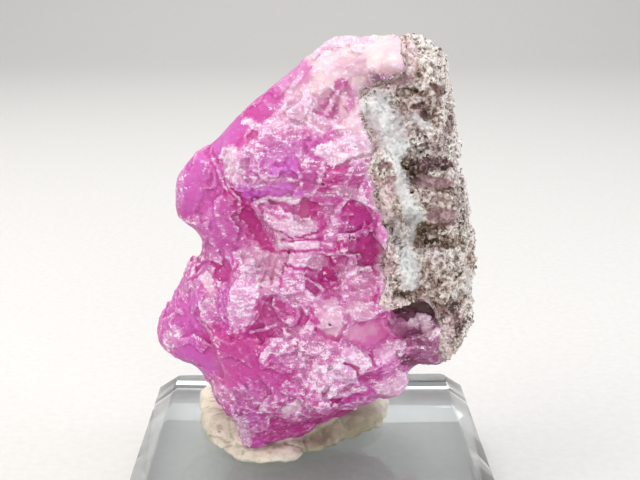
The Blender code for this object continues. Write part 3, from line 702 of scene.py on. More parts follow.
    "corner knob cap": dict(width=0.6, frost=0.75, pale=0.7, rust=0, lift=0.12,
        spots=[(412, 320), (424, 322), (430, 330)]),
    "corner knob ribs": dict(width=0.2, frost=0.37, pale=0.3, lift=0.1,
        spots=[(420, 336), (430, 350), (440, 352)]),
    "corner knob foot": dict(width=0.5, rust=0.6, pale=0.2, frost=0.1, spots=[(424, 362), (440, 364)]),
    "big white plate": dict(width=1.3, frost=0.97, violet=0.04, deep=0, lift=0.5,
        spots=[(322, 378), (338, 370), (350, 372)]),
    "big white plate, low": dict(width=0.7, frost=0.9, violet=0.1, deep=0, lift=0.2,
        spots=[(312, 384), (330, 388)]),
    "white plate, upper": dict(width=0.9, frost=0.9, pale=0.2, violet=0.05, deep=0, lift=0.5,
        spots=[(352, 354), (362, 362)]),
    "seam between the plates": dict(width=0.17, deep=0.6, frost=0.1, lift=-0.35,
        spots=[(346, 364), (358, 368), (362, 376)]),
    "seam between the plates 2": dict(width=0.17, deep=0.6, frost=0.1, lift=-0.35,
        spots=[(370, 352), (372, 366)]),
    "lilac plates": dict(width=0.9, violet=0.35, frost=0.6, pale=0.3, deep=0, lift=0.4,
        spots=[(384, 354), (396, 350)]),
    "lilac plate edge": dict(width=0.2, frost=0.62, lift=0.15, spots=[(374, 350), (386, 346), (404, 342)]),
    "lilac plate edge, low": dict(width=0.18, frost=0.59, lift=0.15,
        spots=[(380, 366), (394, 358), (402, 350)]),
    "pink gap": dict(width=0.6, deep=0.8, frost=0.08, lift=-0.35, spots=[(366, 378), (376, 374)]),
    "pink gap, right": dict(width=0.6, deep=0.45, frost=0.3, spots=[(386, 372), (394, 366)]),
    "white foot of the plates": dict(width=0.34, frost=0.72, violet=0.1, lift=0.15,
        spots=[(318, 398), (338, 396), (352, 392), (366, 390)]),
    "lilac foot of the plates": dict(width=0.5, violet=0.55, frost=0.5, deep=0.1, lift=0.1,
        spots=[(344, 404), (362, 404), (376, 402)]),
    "pink under the plates": dict(width=0.4, deep=0.7, frost=0.05, lift=-0.2,
        spots=[(332, 402), (346, 398), (358, 398)]),
    "flake": dict(width=0.95, pale=0.5, violet=0.35, frost=0.45, smooth=0.5, deep=0, lift=0.4,
        spots=[(386, 388), (400, 384)]),
    "flake edge": dict(width=0.18, frost=0.62, lift=0.1, spots=[(378, 392), (390, 380), (408, 374)]),
    "foot": dict(width=1.4, frost=0.25, violet=0.35, deep=0.2, smooth=0.4, spots=[(244, 392), (250, 416)]),
    "foot, bright tip": dict(width=0.8, frost=0.6, violet=0.3, pale=0.2, deep=0,
        spots=[(238, 424), (246, 436)]),
    "foot bar": dict(width=0.2, frost=0.62, lift=0.12, spots=[(258, 403), (268, 405), (274, 408)]),
    "foot cream patch": dict(width=0.55, frost=0.9, pale=0.7, rust=0.06, deep=0,
        spots=[(284, 412), (294, 408)]),
    "foot, pressed in": dict(width=1.1, lift=1.2,
        path=[(-7.2, 12.3), (-6.0, 12.2), (-3.4, 12.7), (-0.4, 13.7)]),
    "veil over the hollow": dict(width=0.5, frost=0.62, pale=0.2,
        spots=[(335, 188), (345, 190), (357, 196), (362, 204)]),
    "foot, pressed in at the band": dict(width=0.9, lift=1.2, path=[(1.4, 14.2), (3.2, 15.0), (5.0, 15.6)]),
    "foot rib": dict(width=0.18, frost=0.5, lift=0.12, spots=[(226, 420), (236, 436), (240, 446)]),
    "foot rib 2": dict(width=0.16, frost=0.37, lift=0.1, spots=[(262, 424), (274, 414), (284, 416)]),
    "foot, pink left": dict(width=0.7, deep=0.4, frost=0.1, smooth=0.7, violet=0.2,
        spots=[(214, 404), (226, 420)]),
    "bottom band": dict(width=1.2, deep=0.62, frost=0.02, violet=0.1, smooth=1,
        spots=[(268, 440), (300, 430), (336, 418), (366, 412)]),
    "bottom band, bright": dict(width=0.6, deep=0.4, violet=0.35, smooth=1, frost=0.05,
        spots=[(258, 444), (280, 440), (296, 434)]),
    "bottom band, dark right": dict(width=0.8, deep=0.85, rust=0.15, smooth=1, frost=0,
        spots=[(344, 420), (372, 410)]),
    "band ledge": dict(width=0.22, frost=0.46, violet=0.2, lift=0.15,
        spots=[(296, 420), (312, 408), (328, 402), (344, 408), (368, 410), (384, 402)]),
    "pink over the band": dict(width=0.8, frost=0.28, deep=0.36, violet=0.15,
        spots=[(302, 414), (316, 404)]),
}

# Marks on the host rock, with the colours of its grit as layers

rockMarks = {
    "grit, top": dict(width=2.6, cream=0.75, tan=0.35, spots=[(420, 56), (430, 84)]),
    "cream rim, top": dict(width=0.6, cream=0.95, spots=[(400, 42), (420, 44), (436, 56)]),
    "brown pits, top": dict(width=0.4, dark=0.75, tan=0.5, lift=-0.4, spots=[(406, 70), (418, 72)]),
    "brown pits, top 2": dict(width=0.3, dark=0.7, tan=0.6, lift=-0.35, spots=[(432, 84), (438, 92)]),
    "brown pits, top 3": dict(width=0.3, dark=0.6, tan=0.7, lift=-0.3, spots=[(412, 92), (424, 94)]),
    "rust under the knob": dict(width=0.8, mauve=0.6, pink=0.7, cream=0.3, dark=0.2, smooth=0.7, lift=1.1,
        path=[(7.0, 48.9), (8.4, 49.1)]),
    "rose beside the knob": dict(width=1.0, pink=0.85, cream=0.85, dark=0, smooth=0.5, lift=0.1,
        path=[(7.9, 52.2), (8.4, 50.9), (8.2, 49.6)]),
    "ochre, top": dict(width=0.8, tan=0.85, cream=0.4, spots=[(404, 60), (412, 66)]),
    "grey crust, top": dict(width=1.3, blue=1, cream=0.95, spots=[(378, 104), (390, 124), (396, 146)]),
    "blue edge": dict(width=0.6, blue=1, cream=1, lift=0.15, spots=[(366, 92), (368, 108), (376, 124)]),
    "blue chips": dict(width=0.5, blue=0.95, cream=0.5, spots=[(412, 118), (428, 126)]),
    "black pits": dict(width=0.5, dark=1, lift=-0.6, spots=[(422, 112), (433, 118)]),
    "black pits 2": dict(width=0.3, dark=0.9, lift=-0.5, spots=[(414, 108), (420, 104)]),
    "dark middle": dict(width=0.8, dark=0.8, tan=0.35, lift=-0.4,
        spots=[(408, 164), (418, 172), (410, 178)]),
    "brown shelf shadow": dict(width=0.5, dark=0.85, mauve=0.5, lift=-0.45, spots=[(417, 163), (446, 166)]),
    "mauve lens, upper": dict(width=0.7, mauve=0.85, smooth=0.9, cream=0.3, lift=0.2,
        spots=[(421, 181), (446, 182)]),
    "crack": dict(width=0.2, dark=0.95, mauve=0.4, lift=-0.5, spots=[(438, 190), (449, 187)]),
    "pale step": dict(width=0.16, cream=1, mauve=0, lift=0.15, spots=[(424, 174), (438, 173)]),
    "mauve middle": dict(width=0.6, mauve=0.5, smooth=0.6, cream=0.8, spots=[(425, 200), (446, 200)]),
    "mauve lens": dict(width=0.8, mauve=0.75, smooth=0.95, cream=0.5, lift=0.2,
        spots=[(433, 214), (448, 216)]),
    "shadow of the lens": dict(width=0.22, dark=0.8, mauve=0.5, lift=-0.4, spots=[(434, 225), (451, 223)]),
    "tan spots": dict(width=0.5, tan=0.8, dark=0.35, pink=0.3, spots=[(372, 170), (380, 180)]),
    "rust spot": dict(width=0.3, dark=0.4, mauve=0.7, pink=0.4, spots=[(383, 164), (387, 163)]),
    "pink grit": dict(width=1, pink=0.8, cream=0.7, spots=[(366, 176), (372, 190), (392, 196)]),
    "pink grit, right": dict(width=0.8, pink=0.55, mauve=0.3, cream=0.6, spots=[(394, 180), (402, 196)]),
    "cream ribs": dict(width=0.5, cream=1, pink=0.1, lift=0.15, spots=[(382, 202), (396, 206), (404, 200)]),
    "grey streak": dict(width=0.42, blue=0.95, cream=0.9, mauve=0, pink=0, dark=0, lift=0.1,
        spots=[
            (372, 98), (385, 118), (393, 150), (399, 170),
            (405, 195), (412, 225), (408, 255), (412, 285)]),
    "blue middle": dict(width=0.7, blue=1, cream=0.9, lift=0.1, spots=[(404, 186), (410, 204), (416, 216)]),
    "green pits": dict(width=0.5, dark=0.85, tan=0.3, lift=-0.45,
        spots=[(386, 222), (392, 240), (388, 252)]),
    "grey middle": dict(width=0.9, cream=0.6, blue=0.4, spots=[(402, 226), (402, 244)]),
    "pits by the lens": dict(width=0.6, dark=0.85, lift=-0.45, spots=[(412, 222), (426, 228), (416, 238)]),
    "brown band": dict(width=0.6, dark=0.7, tan=0.5, lift=-0.3, spots=[(424, 242), (446, 244), (458, 240)]),
    "olive rim": dict(width=0.5, dark=0.45, tan=0.3, blue=0.2, spots=[(454, 190), (456, 210), (462, 226)]),
    "cream low": dict(width=1.4, cream=0.85, tan=0.25, spots=[(424, 256), (448, 262)]),
    "blue low": dict(width=0.8, blue=0.95, cream=0.95, lift=0.15,
        spots=[(408, 252), (410, 272), (412, 284)]),
    "grit low": dict(width=1.3, cream=0.6, tan=0.5, mauve=0.2, spots=[(432, 274), (452, 280)]),
    "black low pits": dict(width=0.5, dark=1, lift=-0.55, spots=[(396, 292), (408, 296), (420, 292)]),
    "brown low pits": dict(width=0.4, dark=0.7, tan=0.4, lift=-0.35, spots=[(430, 278), (438, 284)]),
    "cream low rib": dict(width=0.4, cream=1, lift=0.15, spots=[(402, 300), (420, 302), (432, 296)]),
    # painted shade and rust: the cavity under the rock's overhang, darkened in full with the dark layer
    "rust and shade, low": dict(width=0.7, dark=1, mauve=0.2, smooth=0.5, lift=-0.4, spots=[(428, 306), (444, 312)]),
    "dark rim low": dict(width=0.7, dark=0.85, tan=0.25, lift=-0.4,
        spots=[(452, 306), (456, 322), (450, 336)]),
    "cream rim low": dict(width=0.4, cream=0.85, spots=[(466, 300), (464, 330), (456, 346)]),
    "corner grit": dict(width=0.6, cream=0.6, tan=0.5, pink=0.2, spots=[(446, 346), (450, 358)]),
}


# Calcite

calciteShape = dict(
    voxel=0.13,
    reach=2.0,  # how far from the surface distances are known
    band=1.1,  # how far from it they are changed
    soften=(2, 2),  # blur over the solid's own facets: voxels, passes
    filled=(5, 2),  # wider blur that fills its small hollows
    mended=dict(blur=(11, 2), middle=(2.0, 33.0), reach=(11.0, 14.5), share=0.75),  # its large ones in front
    chips=dict(size=0.75, soft=0.25, narrow=0.5, seed=7),  # pieces that a broad mark takes or leaves
    faces=[  # flat faces broken along the cleavage, from large to small
        dict(size=3.1, tilt=0.1, cleaved=0.8, most=0.3, calmed=0.8, ridges=0.7, stray=0.2, seed=11),
        dict(size=1.3, tilt=0.15, cleaved=0.75, most=0.14, calmed=0.97, ridges=0.7, stray=0.08, seed=21),
        dict(size=0.6, tilt=0.22, cleaved=0.6, most=0.08, calmed=1.0, ridges=0.7, stray=0.03, seed=31),
    ],
    waves=[(1.7, 0.03), (0.45, 0.012)],  # size and depth of the unevenness between the faces
    lifts=0.55,  # share of the marks' lifts that is used
    kerf=0.3,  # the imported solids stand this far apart
    joined=(0.93, 1.6),  # shares of the kerf: how far each stone grows into it, and how round the groove is
    crust=1.3,  # how far the pale crust reaches from the contact
    crustLayers=dict(pale=0.6, frost=0.5, deep=0.0, violet=0.0),
    grit=0.9,  # and the rock's grit
    labels=0.3,  # how much the frost differs from one small face to the next
    edges=2.2,  # how strongly edges and hollows show
    triangles=194000,
)


def calciteLayers(points):
    # what the calcite is like away from the marks
    broad, patch, spot = [
        latticeNoise(points, size, seed) for size, seed in ((7.0, 41), (3.0, 42), (1.1, 43))]
    top = smoothstep(43.0, 51.0, points[:, 2] + 1.5 * patch)
    return dict(
        frost=0.34 + 0.28 * patch + 0.2 * spot,
        deep=0.36 + 0.26 * broad - 0.2 * patch,
        violet=0.16 + 0.22 * latticeNoise(points, 5.0, 44),
        pale=0.75 * top + 0.1 * patch,
        rust=0.12 * smoothstep(0.35, 0.9, latticeNoise(points, 4.0, 45)),
        smooth=0.45 + 0.6 * broad - 0.3 * smoothstep(1.0, 4.0, points[:, 1]),
    )


def brokenStone(node, neighbour, shape, marks, smoothAt):
    # the node's own surface, broken into faces and marked, and what fills the kerf to its neighbour
    block = blockAround([node], shape["voxel"], 1.6)
    values = distanceTo(node, block, shape["reach"])
    beside = distanceTo(neighbour, block, shape["reach"])
    grown, groove = (share * shape["kerf"] for share in shape["joined"])
    kerf = np.maximum(np.maximum(values, beside) - grown, values + beside - groove)
    values = blurred(values, *shape["soften"])
    values = np.minimum(values, blurred(values, *shape["filled"]))
    if "mended" in shape:
        mended = shape["mended"]
        near = np.abs(values) < shape["reach"]
        places = placesOf(block, near)
        apart = np.hypot(*((sheetPlaces(places) - mended["middle"]) / mended["reach"]).T)
        share = mended["share"] * (1.0 - smoothstep(0.7, 1.0, apart))
        share *= 1.0 - smoothstep(*markDepth, places[:, 1])
        filler = np.minimum(blurred(values, *mended["blur"])[near] - values[near], 0.0)
        values[near] += share.astype(np.float32) * filler
    chosen = np.abs(values) < shape["band"]
    points = placesOf(block, chosen)
    chips = strewnSeeds(points, values, block, shape["chips"]["size"], shape["chips"]["seed"])
    layers = paintByChips(points, chips, lambda places: dict(
        lift=np.zeros(len(places), np.float32), smooth=smoothAt(places)), marks, shape)
    away = smoothstep(0.1, 0.9, beside[chosen])
    rough = 1.0 - np.clip(layers["smooth"], 0.0, 1.0)
    values[chosen] -= shape["lifts"] * layers["lift"] * away
    for face in shape["faces"]:
        plane, _ = brokenFaces(points, values, block, face)
        most = face["most"] * (1.0 - face["calmed"] * (1.0 - rough)) * (0.25 + 0.75 * away)
        values[chosen] += np.clip(plane - values[chosen], -most, most)
    for i, (size, depth) in enumerate(shape["waves"]):
        values[chosen] += depth * (0.3 + 0.7 * rough) * latticeNoise(points, size, 60 + i)
    return block, values, beside, kerf, chosen, points, chips, rough


def nearContact(points, beside, block, reach):
    # 1 at the contact with the other stone, falling to 0 away from it, unevenly
    apart = sample(beside, block, points)
    apart += reach * (0.5 * latticeNoise(points, 2.0, 51) + 0.25 * latticeNoise(points, 0.7, 52))
    return 1.0 - smoothstep(0.2, reach, apart)


def edgesOf(values, block, points):
    # how far the surface stands out over its surroundings: above 0 on edges, below it in hollows
    return sample(blurred(values, 1, 3) - values, block, points) / block["voxel"]


def makeCalcite(material):
    shape = calciteShape
    block, values, beside, kerf, *_, chips, _ = brokenStone(
        "calcite", "host_rock", shape, calciteMarks, lambda places: calciteLayers(places)["smooth"])
    values = np.minimum(values, kerf)
    calcite = meshFromBlock("cobaltoanCalcite", values, block, shape["triangles"])
    points = vertexPlaces(calcite.data)
    layers = paintByChips(points, chips, calciteLayers, calciteMarks, shape)
    _, labels = brokenFaces(points, values, block, shape["faces"][2])
    layers["frost"] += shape["labels"] * (labels - 0.5) * (1.0 - layers["smooth"])
    # next to the rock it pales into the rock's crust
    crust = nearContact(points, beside, block, shape["crust"])
    for name, value in shape["crustLayers"].items():
        layers[name] += (value - layers[name]) * crust * (1.0 - layers["rust"])
    layers["grit"] = nearContact(points, beside, block, shape["grit"])
    layers["edge"] = 0.5 + shape["edges"] * edgesOf(values, block, points) * (1.0 - layers["grit"])
    setLayers(calcite.data, layers)
    dress(calcite, "calcite", material)
    return calcite


# The calcite is a broken mass of cleavage faces: glassy and a little see-through where it is clear,
# white and sugary where it is bruised, pink from its cobalt. Its veils scatter the light below the surface.

calciteFinish = dict(
    pinks=("#c03f98", "#cf6bb4"),  # the clear calcite drifts between them
    deep="#b90f74",
    violet="#cb62c6",
    # painted shade in the hollows
    hollow="#a82377",
    veil="#dba3ce",  # soft white under the surface
    pale="#ebd5d4",  # cream and rose, where the cobalt gives out
    rust="#451c21",
    grit=("#57463f", "#cdbdb4"),
    crushed=("#dfb0d4", "#f8ecf5"),  # crushed white on it
    drift=2.4,  # size of the drift of the pink, and of the smaller patterns below
    streaks=[(0.8, (0.0, 0.55, 0.25)), (0.65, (0.0, -0.8, 0.4))],  # size, and turns about the axes
    fleck=0.17,
    glassy=0.28,
    frosted=0.6,
    scatter=1.2,
)


def cobaltoanCalciteMaterial():
    finish = calciteFinish
    material, tree, shader = newMaterial("cobaltoan calcite, broken")
    place = addNode(tree, "ShaderNodeTexCoord", output="Object")
    deep, violet, pale, rust, frost, edge, grit = [
        addNode(tree, layerNode, output="Fac", attribute_name=name)
        for name in ("deep", "violet", "pale", "rust", "frost", "edge", "grit")]
    drift, fleck = [addNode(tree, noiseNode, {
        "Vector": place, "Scale": 1 / (finish[size] * mm), "Detail": 4.0, "Roughness": 0.6}, "Fac")
        for size in ("drift", "fleck")]
    # the streaks run along two of the cleavages, so their patterns are turned and drawn out
    streaks = []
    for size, turns in finish["streaks"]:
        along = addNode(tree, "ShaderNodeMapping", {
            "Vector": place, "Rotation": turns, "Scale": (1.0, 1.0, 2.2)}, "Vector")
        streaks.append(addNode(tree, noiseNode, {
            "Vector": along, "Scale": 1 / (size * mm), "Detail": 5.0, "Roughness": 0.62,
            "Distortion": 0.5}, "Fac"))

    # clear calcite: pink that drifts, with magenta and violet where they were painted
    shift = addNode(tree, rangeNode, {"Value": drift, "From Min": 0.3, "From Max": 0.7}, 0)
    colour = addNode(tree, mixNode, {
        0: shift, 6: linear(finish["pinks"][0]), 7: linear(finish["pinks"][1])}, 2, data_type="RGBA")
    uneven = addNode(tree, rangeNode, {
        "Value": fleck, "From Min": 0.3, "From Max": 0.7, "To Min": 0.85, "To Max": 1.15}, 0)
    for layer, tint in ((deep, "deep"), (violet, "violet")):
        amount = addNode(tree, mathNode, {0: layer, 1: uneven}, 0, operation="MULTIPLY")
        colour = addNode(tree, mixNode, {
            0: amount, 6: colour, 7: linear(finish[tint])}, 2, data_type="RGBA")
    # painted shade: the hollows are tinted a deeper magenta, for the light caught in them, which makes them
    # look deeper
    hollow = addNode(tree, rangeNode, {
        "Value": edge, "From Min": 0.05, "From Max": 0.46, "To Min": 0.6, "To Max": 0.0}, 0)
    # soft veils follow the frost layer, with a pale line on raised edges
    raised = addNode(tree, rangeNode, {
        "Value": edge, "From Min": 0.56, "From Max": 1.0, "To Min": 0.0, "To Max": 0.4}, 0)
    frost = addNode(tree, mathNode, {0: frost, 1: raised}, 0, operation="ADD")
    veil = addNode(tree, rangeNode, {"Value": frost, "From Min": 0.2, "From Max": 1.0, "To Max": 0.62}, 0)
    faded = addNode(tree, rangeNode, {
        "Value": drift, "From Min": 0.3, "From Max": 0.7, "To Min": 0.8, "To Max": 1.1}, 0)
    faded = addNode(tree, mathNode, {0: pale, 1: faded}, 0, operation="MULTIPLY")
    for amount, tint in ((hollow, "hollow"), (veil, "veil"), (faded, "pale"), (rust, "rust")):
        colour = addNode(tree, mixNode, {
            0: amount, 6: colour, 7: linear(finish[tint])}, 2, data_type="RGBA")

    # crushed white lies in ragged flakes: few where the frost is light, close together where it is heavy
    pattern = addNode(tree, mixNode, {0: 0.4, 2: streaks[0], 3: fleck}, 0)
    bare = addNode(tree, rangeNode, {
        "Value": frost, "From Min": 0.1, "From Max": 1.0, "To Min": 0.9, "To Max": 0.38}, 0)
    flakes = addNode(tree, rangeNode, {"Value": pattern, "From Min": 0.34, "From Max": 0.66}, 0)
    flakes = addNode(tree, mathNode, {0: flakes, 1: bare}, 0, operation="SUBTRACT")
    flakes = addNode(tree, rangeNode, {
        "Value": flakes, "From Min": -0.03, "From Max": 0.08, "To Max": 0.85}, 0)
    # and in short hair lines where a streak pattern crosses its middle
    reach = addNode(tree, rangeNode, {
        "Value": frost, "From Min": 0.1, "From Max": 0.7, "To Min": 0.004, "To Max": 0.016}, 0)
    shown = addNode(tree, rangeNode, {
        "Value": frost, "From Min": 0.05, "From Max": 0.5, "To Min": 0.2, "To Max": 0.75}, 0)
    crushed = flakes
    for streak in streaks:
        crossing = addNode(tree, mathNode, {0: streak, 1: 0.5}, 0, operation="SUBTRACT")
        crossing = addNode(tree, mathNode, {0: crossing}, 0, operation="ABSOLUTE")
        hair = addNode(tree, mathNode, {0: reach, 1: crossing}, 0, operation="SUBTRACT")
        hair = addNode(tree, rangeNode, {"Value": hair, "From Min": -0.01, "From Max": 0.012}, 0)
        hair = addNode(tree, mathNode, {0: hair, 1: shown}, 0, operation="MULTIPLY")
        crushed = addNode(tree, mathNode, {0: crushed, 1: hair}, 0, operation="MAXIMUM")
    white = addNode(tree, rangeNode, {"Value": pattern, "From Min": 0.46, "From Max": 0.6}, 0)
    white = addNode(tree, mixNode, {
        0: white, 6: linear(finish["crushed"][0]), 7: linear(finish["crushed"][1])}, 2, data_type="RGBA")
    colour = addNode(tree, mixNode, {0: crushed, 6: colour, 7: white}, 2, data_type="RGBA")

    # the rock's grit clings to the calcite where they meet
    grains = addNode(tree, rangeNode, {"Value": fleck, "From Min": 0.4, "From Max": 0.56}, 0)
    grains = addNode(tree, mixNode, {
        0: grains, 6: linear(finish["grit"][0]), 7: linear(finish["grit"][1])}, 2, data_type="RGBA")
    colour = addNode(tree, mixNode, {0: grit, 6: colour, 7: grains}, 2, data_type="RGBA")

    dull = addNode(tree, rangeNode, {"Value": frost, "From Min": 0.1, "From Max": 1.0, "To Max": 0.7}, 0)
    dull = addNode(tree, mathNode, {0: dull, 1: crushed}, 0, operation="MAXIMUM")
    dull = addNode(tree, mathNode, {0: dull, 1: grit}, 0, operation="MAXIMUM")
    roughness = addNode(tree, rangeNode, {
        "Value": dull, "To Min": finish["glassy"], "To Max": finish["frosted"]}, 0)
    height = addNode(tree, mathNode, {0: crushed, 1: fleck}, 0, operation="ADD")
    bump = addNode(tree, bumpNode, {"Strength": 0.5, "Distance": 0.05 * mm, "Height": height}, "Normal")
    tree.links.new(colour, shader.inputs["Base Color"])
    tree.links.new(roughness, shader.inputs["Roughness"])
    tree.links.new(bump, shader.inputs["Normal"])
    shader.inputs["IOR"].default_value = 1.55
    shader.inputs["Specular IOR Level"].default_value = 0.16
    shader.inputs["Subsurface Weight"].default_value = 0.4
    shader.inputs["Subsurface Radius"].default_value = (1.0, 0.35, 0.75)
    shader.inputs["Subsurface Scale"].default_value = finish["scatter"] * mm
    return material


# Host rock

rockShape = dict(
    voxel=0.12,
    reach=2.0,
    band=1.0,
    soften=(2, 2),
    filled=(5, 2),
    spread=dict(reach=0.45, stray=0.6, thick=0.1),  # tongues of its grit over the calcite's border
    chips=dict(size=0.7, soft=0.6, narrow=0.35, seed=107),
    faces=[
        dict(size=2.4, tilt=0.2, cleaved=0.2, most=0.22, calmed=0.0, ridges=0.5, stray=0.4, seed=111),
        dict(size=0.9, tilt=0.3, cleaved=0.2, most=0.12, calmed=0.0, ridges=0.5, stray=0.2, seed=121),
    ],
    waves=[(0.9, 0.05), (0.45, 0.05), (0.28, 0.05)],
    grains=[dict(size=0.38, radius=(0.1, 0.2), share=0.7, out=-0.45, stray=0.08, seed=141)],
    pits=[dict(size=1.5, radius=(0.2, 0.4), share=0.16, out=0.35, stray=0.25, seed=151),
          dict(size=0.5, radius=(0.08, 0.19), share=0.4, out=0.2, stray=0.12, seed=161)],
    lifts=0.5,
    kerf=0.3,
    joined=(0.93, 1.6),
    crust=1.5,
    crustLayers=dict(pink=0.6, cream=0.7, dark=0.05, tan=0.15),
    edges=1.3,
    triangles=150000,
)


def rockLayers(points):
    broad, patch, spot = [
        latticeNoise(points, size, seed) for size, seed in ((6.0, 171), (2.4, 172), (0.9, 173))]
    return dict(
        cream=0.5 + 0.35 * patch + 0.2 * spot,
        tan=0.35 + 0.3 * broad,
        dark=0.02 + 0.25 * smoothstep(0.2, 0.8, latticeNoise(points, 1.6, 174)),
        blue=0.5 * smoothstep(0.25, 0.8, latticeNoise(points, 4.0, 175)),
        mauve=0.45 * smoothstep(0.1, 0.7, latticeNoise(points, 3.0, 176)),
        pink=0.4 * smoothstep(0.4, 0.9, latticeNoise(points, 3.6, 177)),
        grit=0.45 + 0.6 * latticeNoise(points, 2.0, 178),
    )


def makeHostRock(material):
    shape = rockShape
    block, values, beside, kerf, chosen, points, chips, rough = brokenStone(
        "host_rock", "calcite", shape, rockMarks, lambda places: np.zeros(len(places), np.float32))
    spread = shape["spread"]
    reach = spread["reach"] + spread["stray"] * (
        0.7 * latticeNoise(points, 1.3, 131) + 0.3 * latticeNoise(points, 0.5, 132))
    fixed = np.minimum(values[chosen], np.maximum(values[chosen] - reach, beside[chosen] - spread["thick"]))
    plain = fixed.copy()
    for grain in shape["grains"]:
        fixed = np.minimum(fixed, lumps(points, values, block, grain))
    for pit in shape["pits"]:
        fixed = np.maximum(fixed, -lumps(points, values, block, pit))
    values[chosen] = plain + (fixed - plain) * rough
    values = np.minimum(values, kerf)
    rock = meshFromBlock("hostRock", values, block, shape["triangles"])
    points = vertexPlaces(rock.data)
    layers = paintByChips(points, chips, rockLayers, rockMarks, shape)
    crust = nearContact(points, beside, block, shape["crust"])
    for name, value in shape["crustLayers"].items():
        layers[name] += (value - layers[name]) * crust
    layers["edge"] = 0.5 + shape["edges"] * edgesOf(values, block, points) * (1.0 - 0.7 * crust)
    layers["grit"] *= 1.0 - np.clip(np.maximum(layers["blue"], layers["mauve"]), 0.0, 1.0)
    setLayers(rock.data, layers)
    dress(rock, "host_rock", material)
    return rock


# The host rock is a gritty crust: cream, tan and brown grains with dark pits between them, a bluish grey
# coating next to the calcite and smooth mauve lenses. It is matt, with a dull shine on the lenses only.

rockFinish = dict(
    grain=0.21,  # size of the grains, each of one colour
    patch=1.1,
    tone=0.06,  # how light the grains are where no layer says otherwise
    # what makes them lighter or darker; edge darkens them in hollows and lightens them on raised edges
    mix=dict(grain=0.58, patch=0.3, cream=0.34, dark=-0.62, tan=-0.12, edge=0.4),
    grains=[(0.0, "#281c1a"), (0.14, "#4f3c38"), (0.3, "#806f6a"), (0.48, "#aa9d98"), (0.68, "#cdc4bf"),
            (0.9, "#f1ede8")],
    tints=[  # layer, colour, and how much of the grain it covers
        ("tan", "#9a7d55", 0.45),
        ("pink", "#dba9b6", 0.6),
        ("blue", "#d6dadb", 0.68),
        ("mauve", "#8a626d", 0.85),
    ],
)


def hostRockMaterial():
    finish = rockFinish
    material, tree, shader = newMaterial("host rock, gritty")
    place = addNode(tree, "ShaderNodeTexCoord", output="Object")
    layers = {name: addNode(tree, layerNode, output="Fac", attribute_name=name)
              for name in ("tan", "cream", "blue", "pink", "mauve", "dark", "edge")}
    patch, fine = [addNode(tree, noiseNode, {
        "Vector": place, "Scale": 1 / (size * mm), "Detail": 4.0, "Roughness": 0.65}, "Fac")
        for size in (finish["patch"], finish["grain"])]
    # grains: uneven cells, pushed about so their sides are not straight
    push = addNode(tree, noiseNode, {"Vector": place, "Scale": 1 / (0.5 * mm), "Detail": 2.0}, "Color")
    pushed = addNode(tree, "ShaderNodeVectorMath", {
        0: push, 1: (finish["grain"] * mm,) * 3, 2: place}, "Vector", operation="MULTIPLY_ADD")
    cells = addNode(tree, "ShaderNodeTexVoronoi", {
        "Vector": pushed, "Scale": 1 / (finish["grain"] * mm)}, "Color")
    cell = addNode(tree, "ShaderNodeSeparateColor", {"Color": cells}, "Red")
    parts = dict(layers, grain=cell, patch=patch)
    tone = finish["tone"]
    for name, share in finish["mix"].items():
        tone = addNode(tree, mathNode, {0: parts[name], 1: share, 2: tone}, 0, operation="MULTIPLY_ADD")
    tone = addNode(tree, mathNode, {0: fine, 1: 0.3, 2: tone}, 0, operation="MULTIPLY_ADD")
    tone = addNode(tree, mathNode, {0: tone, 1: 0.4}, 0, operation="SUBTRACT")
    ramp = addNode(tree, "ShaderNodeValToRGB", {"Fac": tone})
    while len(ramp.color_ramp.elements) < len(finish["grains"]):
        ramp.color_ramp.elements.new(0.5)
    for element, (at, tint) in zip(ramp.color_ramp.elements, finish["grains"]):
        element.position = at
        element.color = linear(tint)
    colour = ramp.outputs["Color"]
    for name, tint, cover in finish["tints"]:
        amount = addNode(tree, mathNode, {0: patch, 1: 0.8, 2: layers[name]}, 0, operation="MULTIPLY_ADD")
        amount = addNode(tree, mathNode, {0: fine, 1: 0.8, 2: amount}, 0, operation="MULTIPLY_ADD")
        amount = addNode(tree, rangeNode, {
            "Value": amount, "From Min": 0.95, "From Max": 1.75, "To Max": cover}, 0)
        colour = addNode(tree, mixNode, {0: amount, 6: colour, 7: linear(tint)}, 2, data_type="RGBA")
    roughness = addNode(tree, rangeNode, {
        "Value": layers["mauve"], "From Min": 0.6, "From Max": 1.0, "To Min": 0.88, "To Max": 0.45}, 0)
    bump = addNode(tree, bumpNode, {"Strength": 0.6, "Distance": 0.06 * mm, "Height": fine}, "Normal")
    tree.links.new(colour, shader.inputs["Base Color"])
    tree.links.new(roughness, shader.inputs["Roughness"])
    tree.links.new(bump, shader.inputs["Normal"])
    shader.inputs["IOR"].default_value = 1.5
    return material


# Putty

puttyShape = dict(
    voxel=0.16,
    reach=1.6,
    band=1.8,
    baseTop=10.01,  # the base's top face, and a hair's breadth
    kerf=0.3,
    middle=(-1.0, 3.0),  # the finger creases run out from here
    folds=[(3.2, 0.14), (1.1, 0.1), (0.45, 0.04)],  # size and depth
    creases=[(1.9, 0.1, 0.2), (0.8, 0.07, 0.6)],  # size across, depth, and width as a share
    torn=(0.9, 0.22),  # size and depth of the tears round the rim
    # heights of its rim and of the stone's seat, how far the slope between them reaches inwards, the Y values
    # between which the flat front ends, how much higher it is behind them, and the lip round the stone
    front=dict(rim=10.4, seat=11.4, slope=2.0, ends=(-3.5, 2.5), rise=1.6, lip=0.6),
    triangles=90000,
)


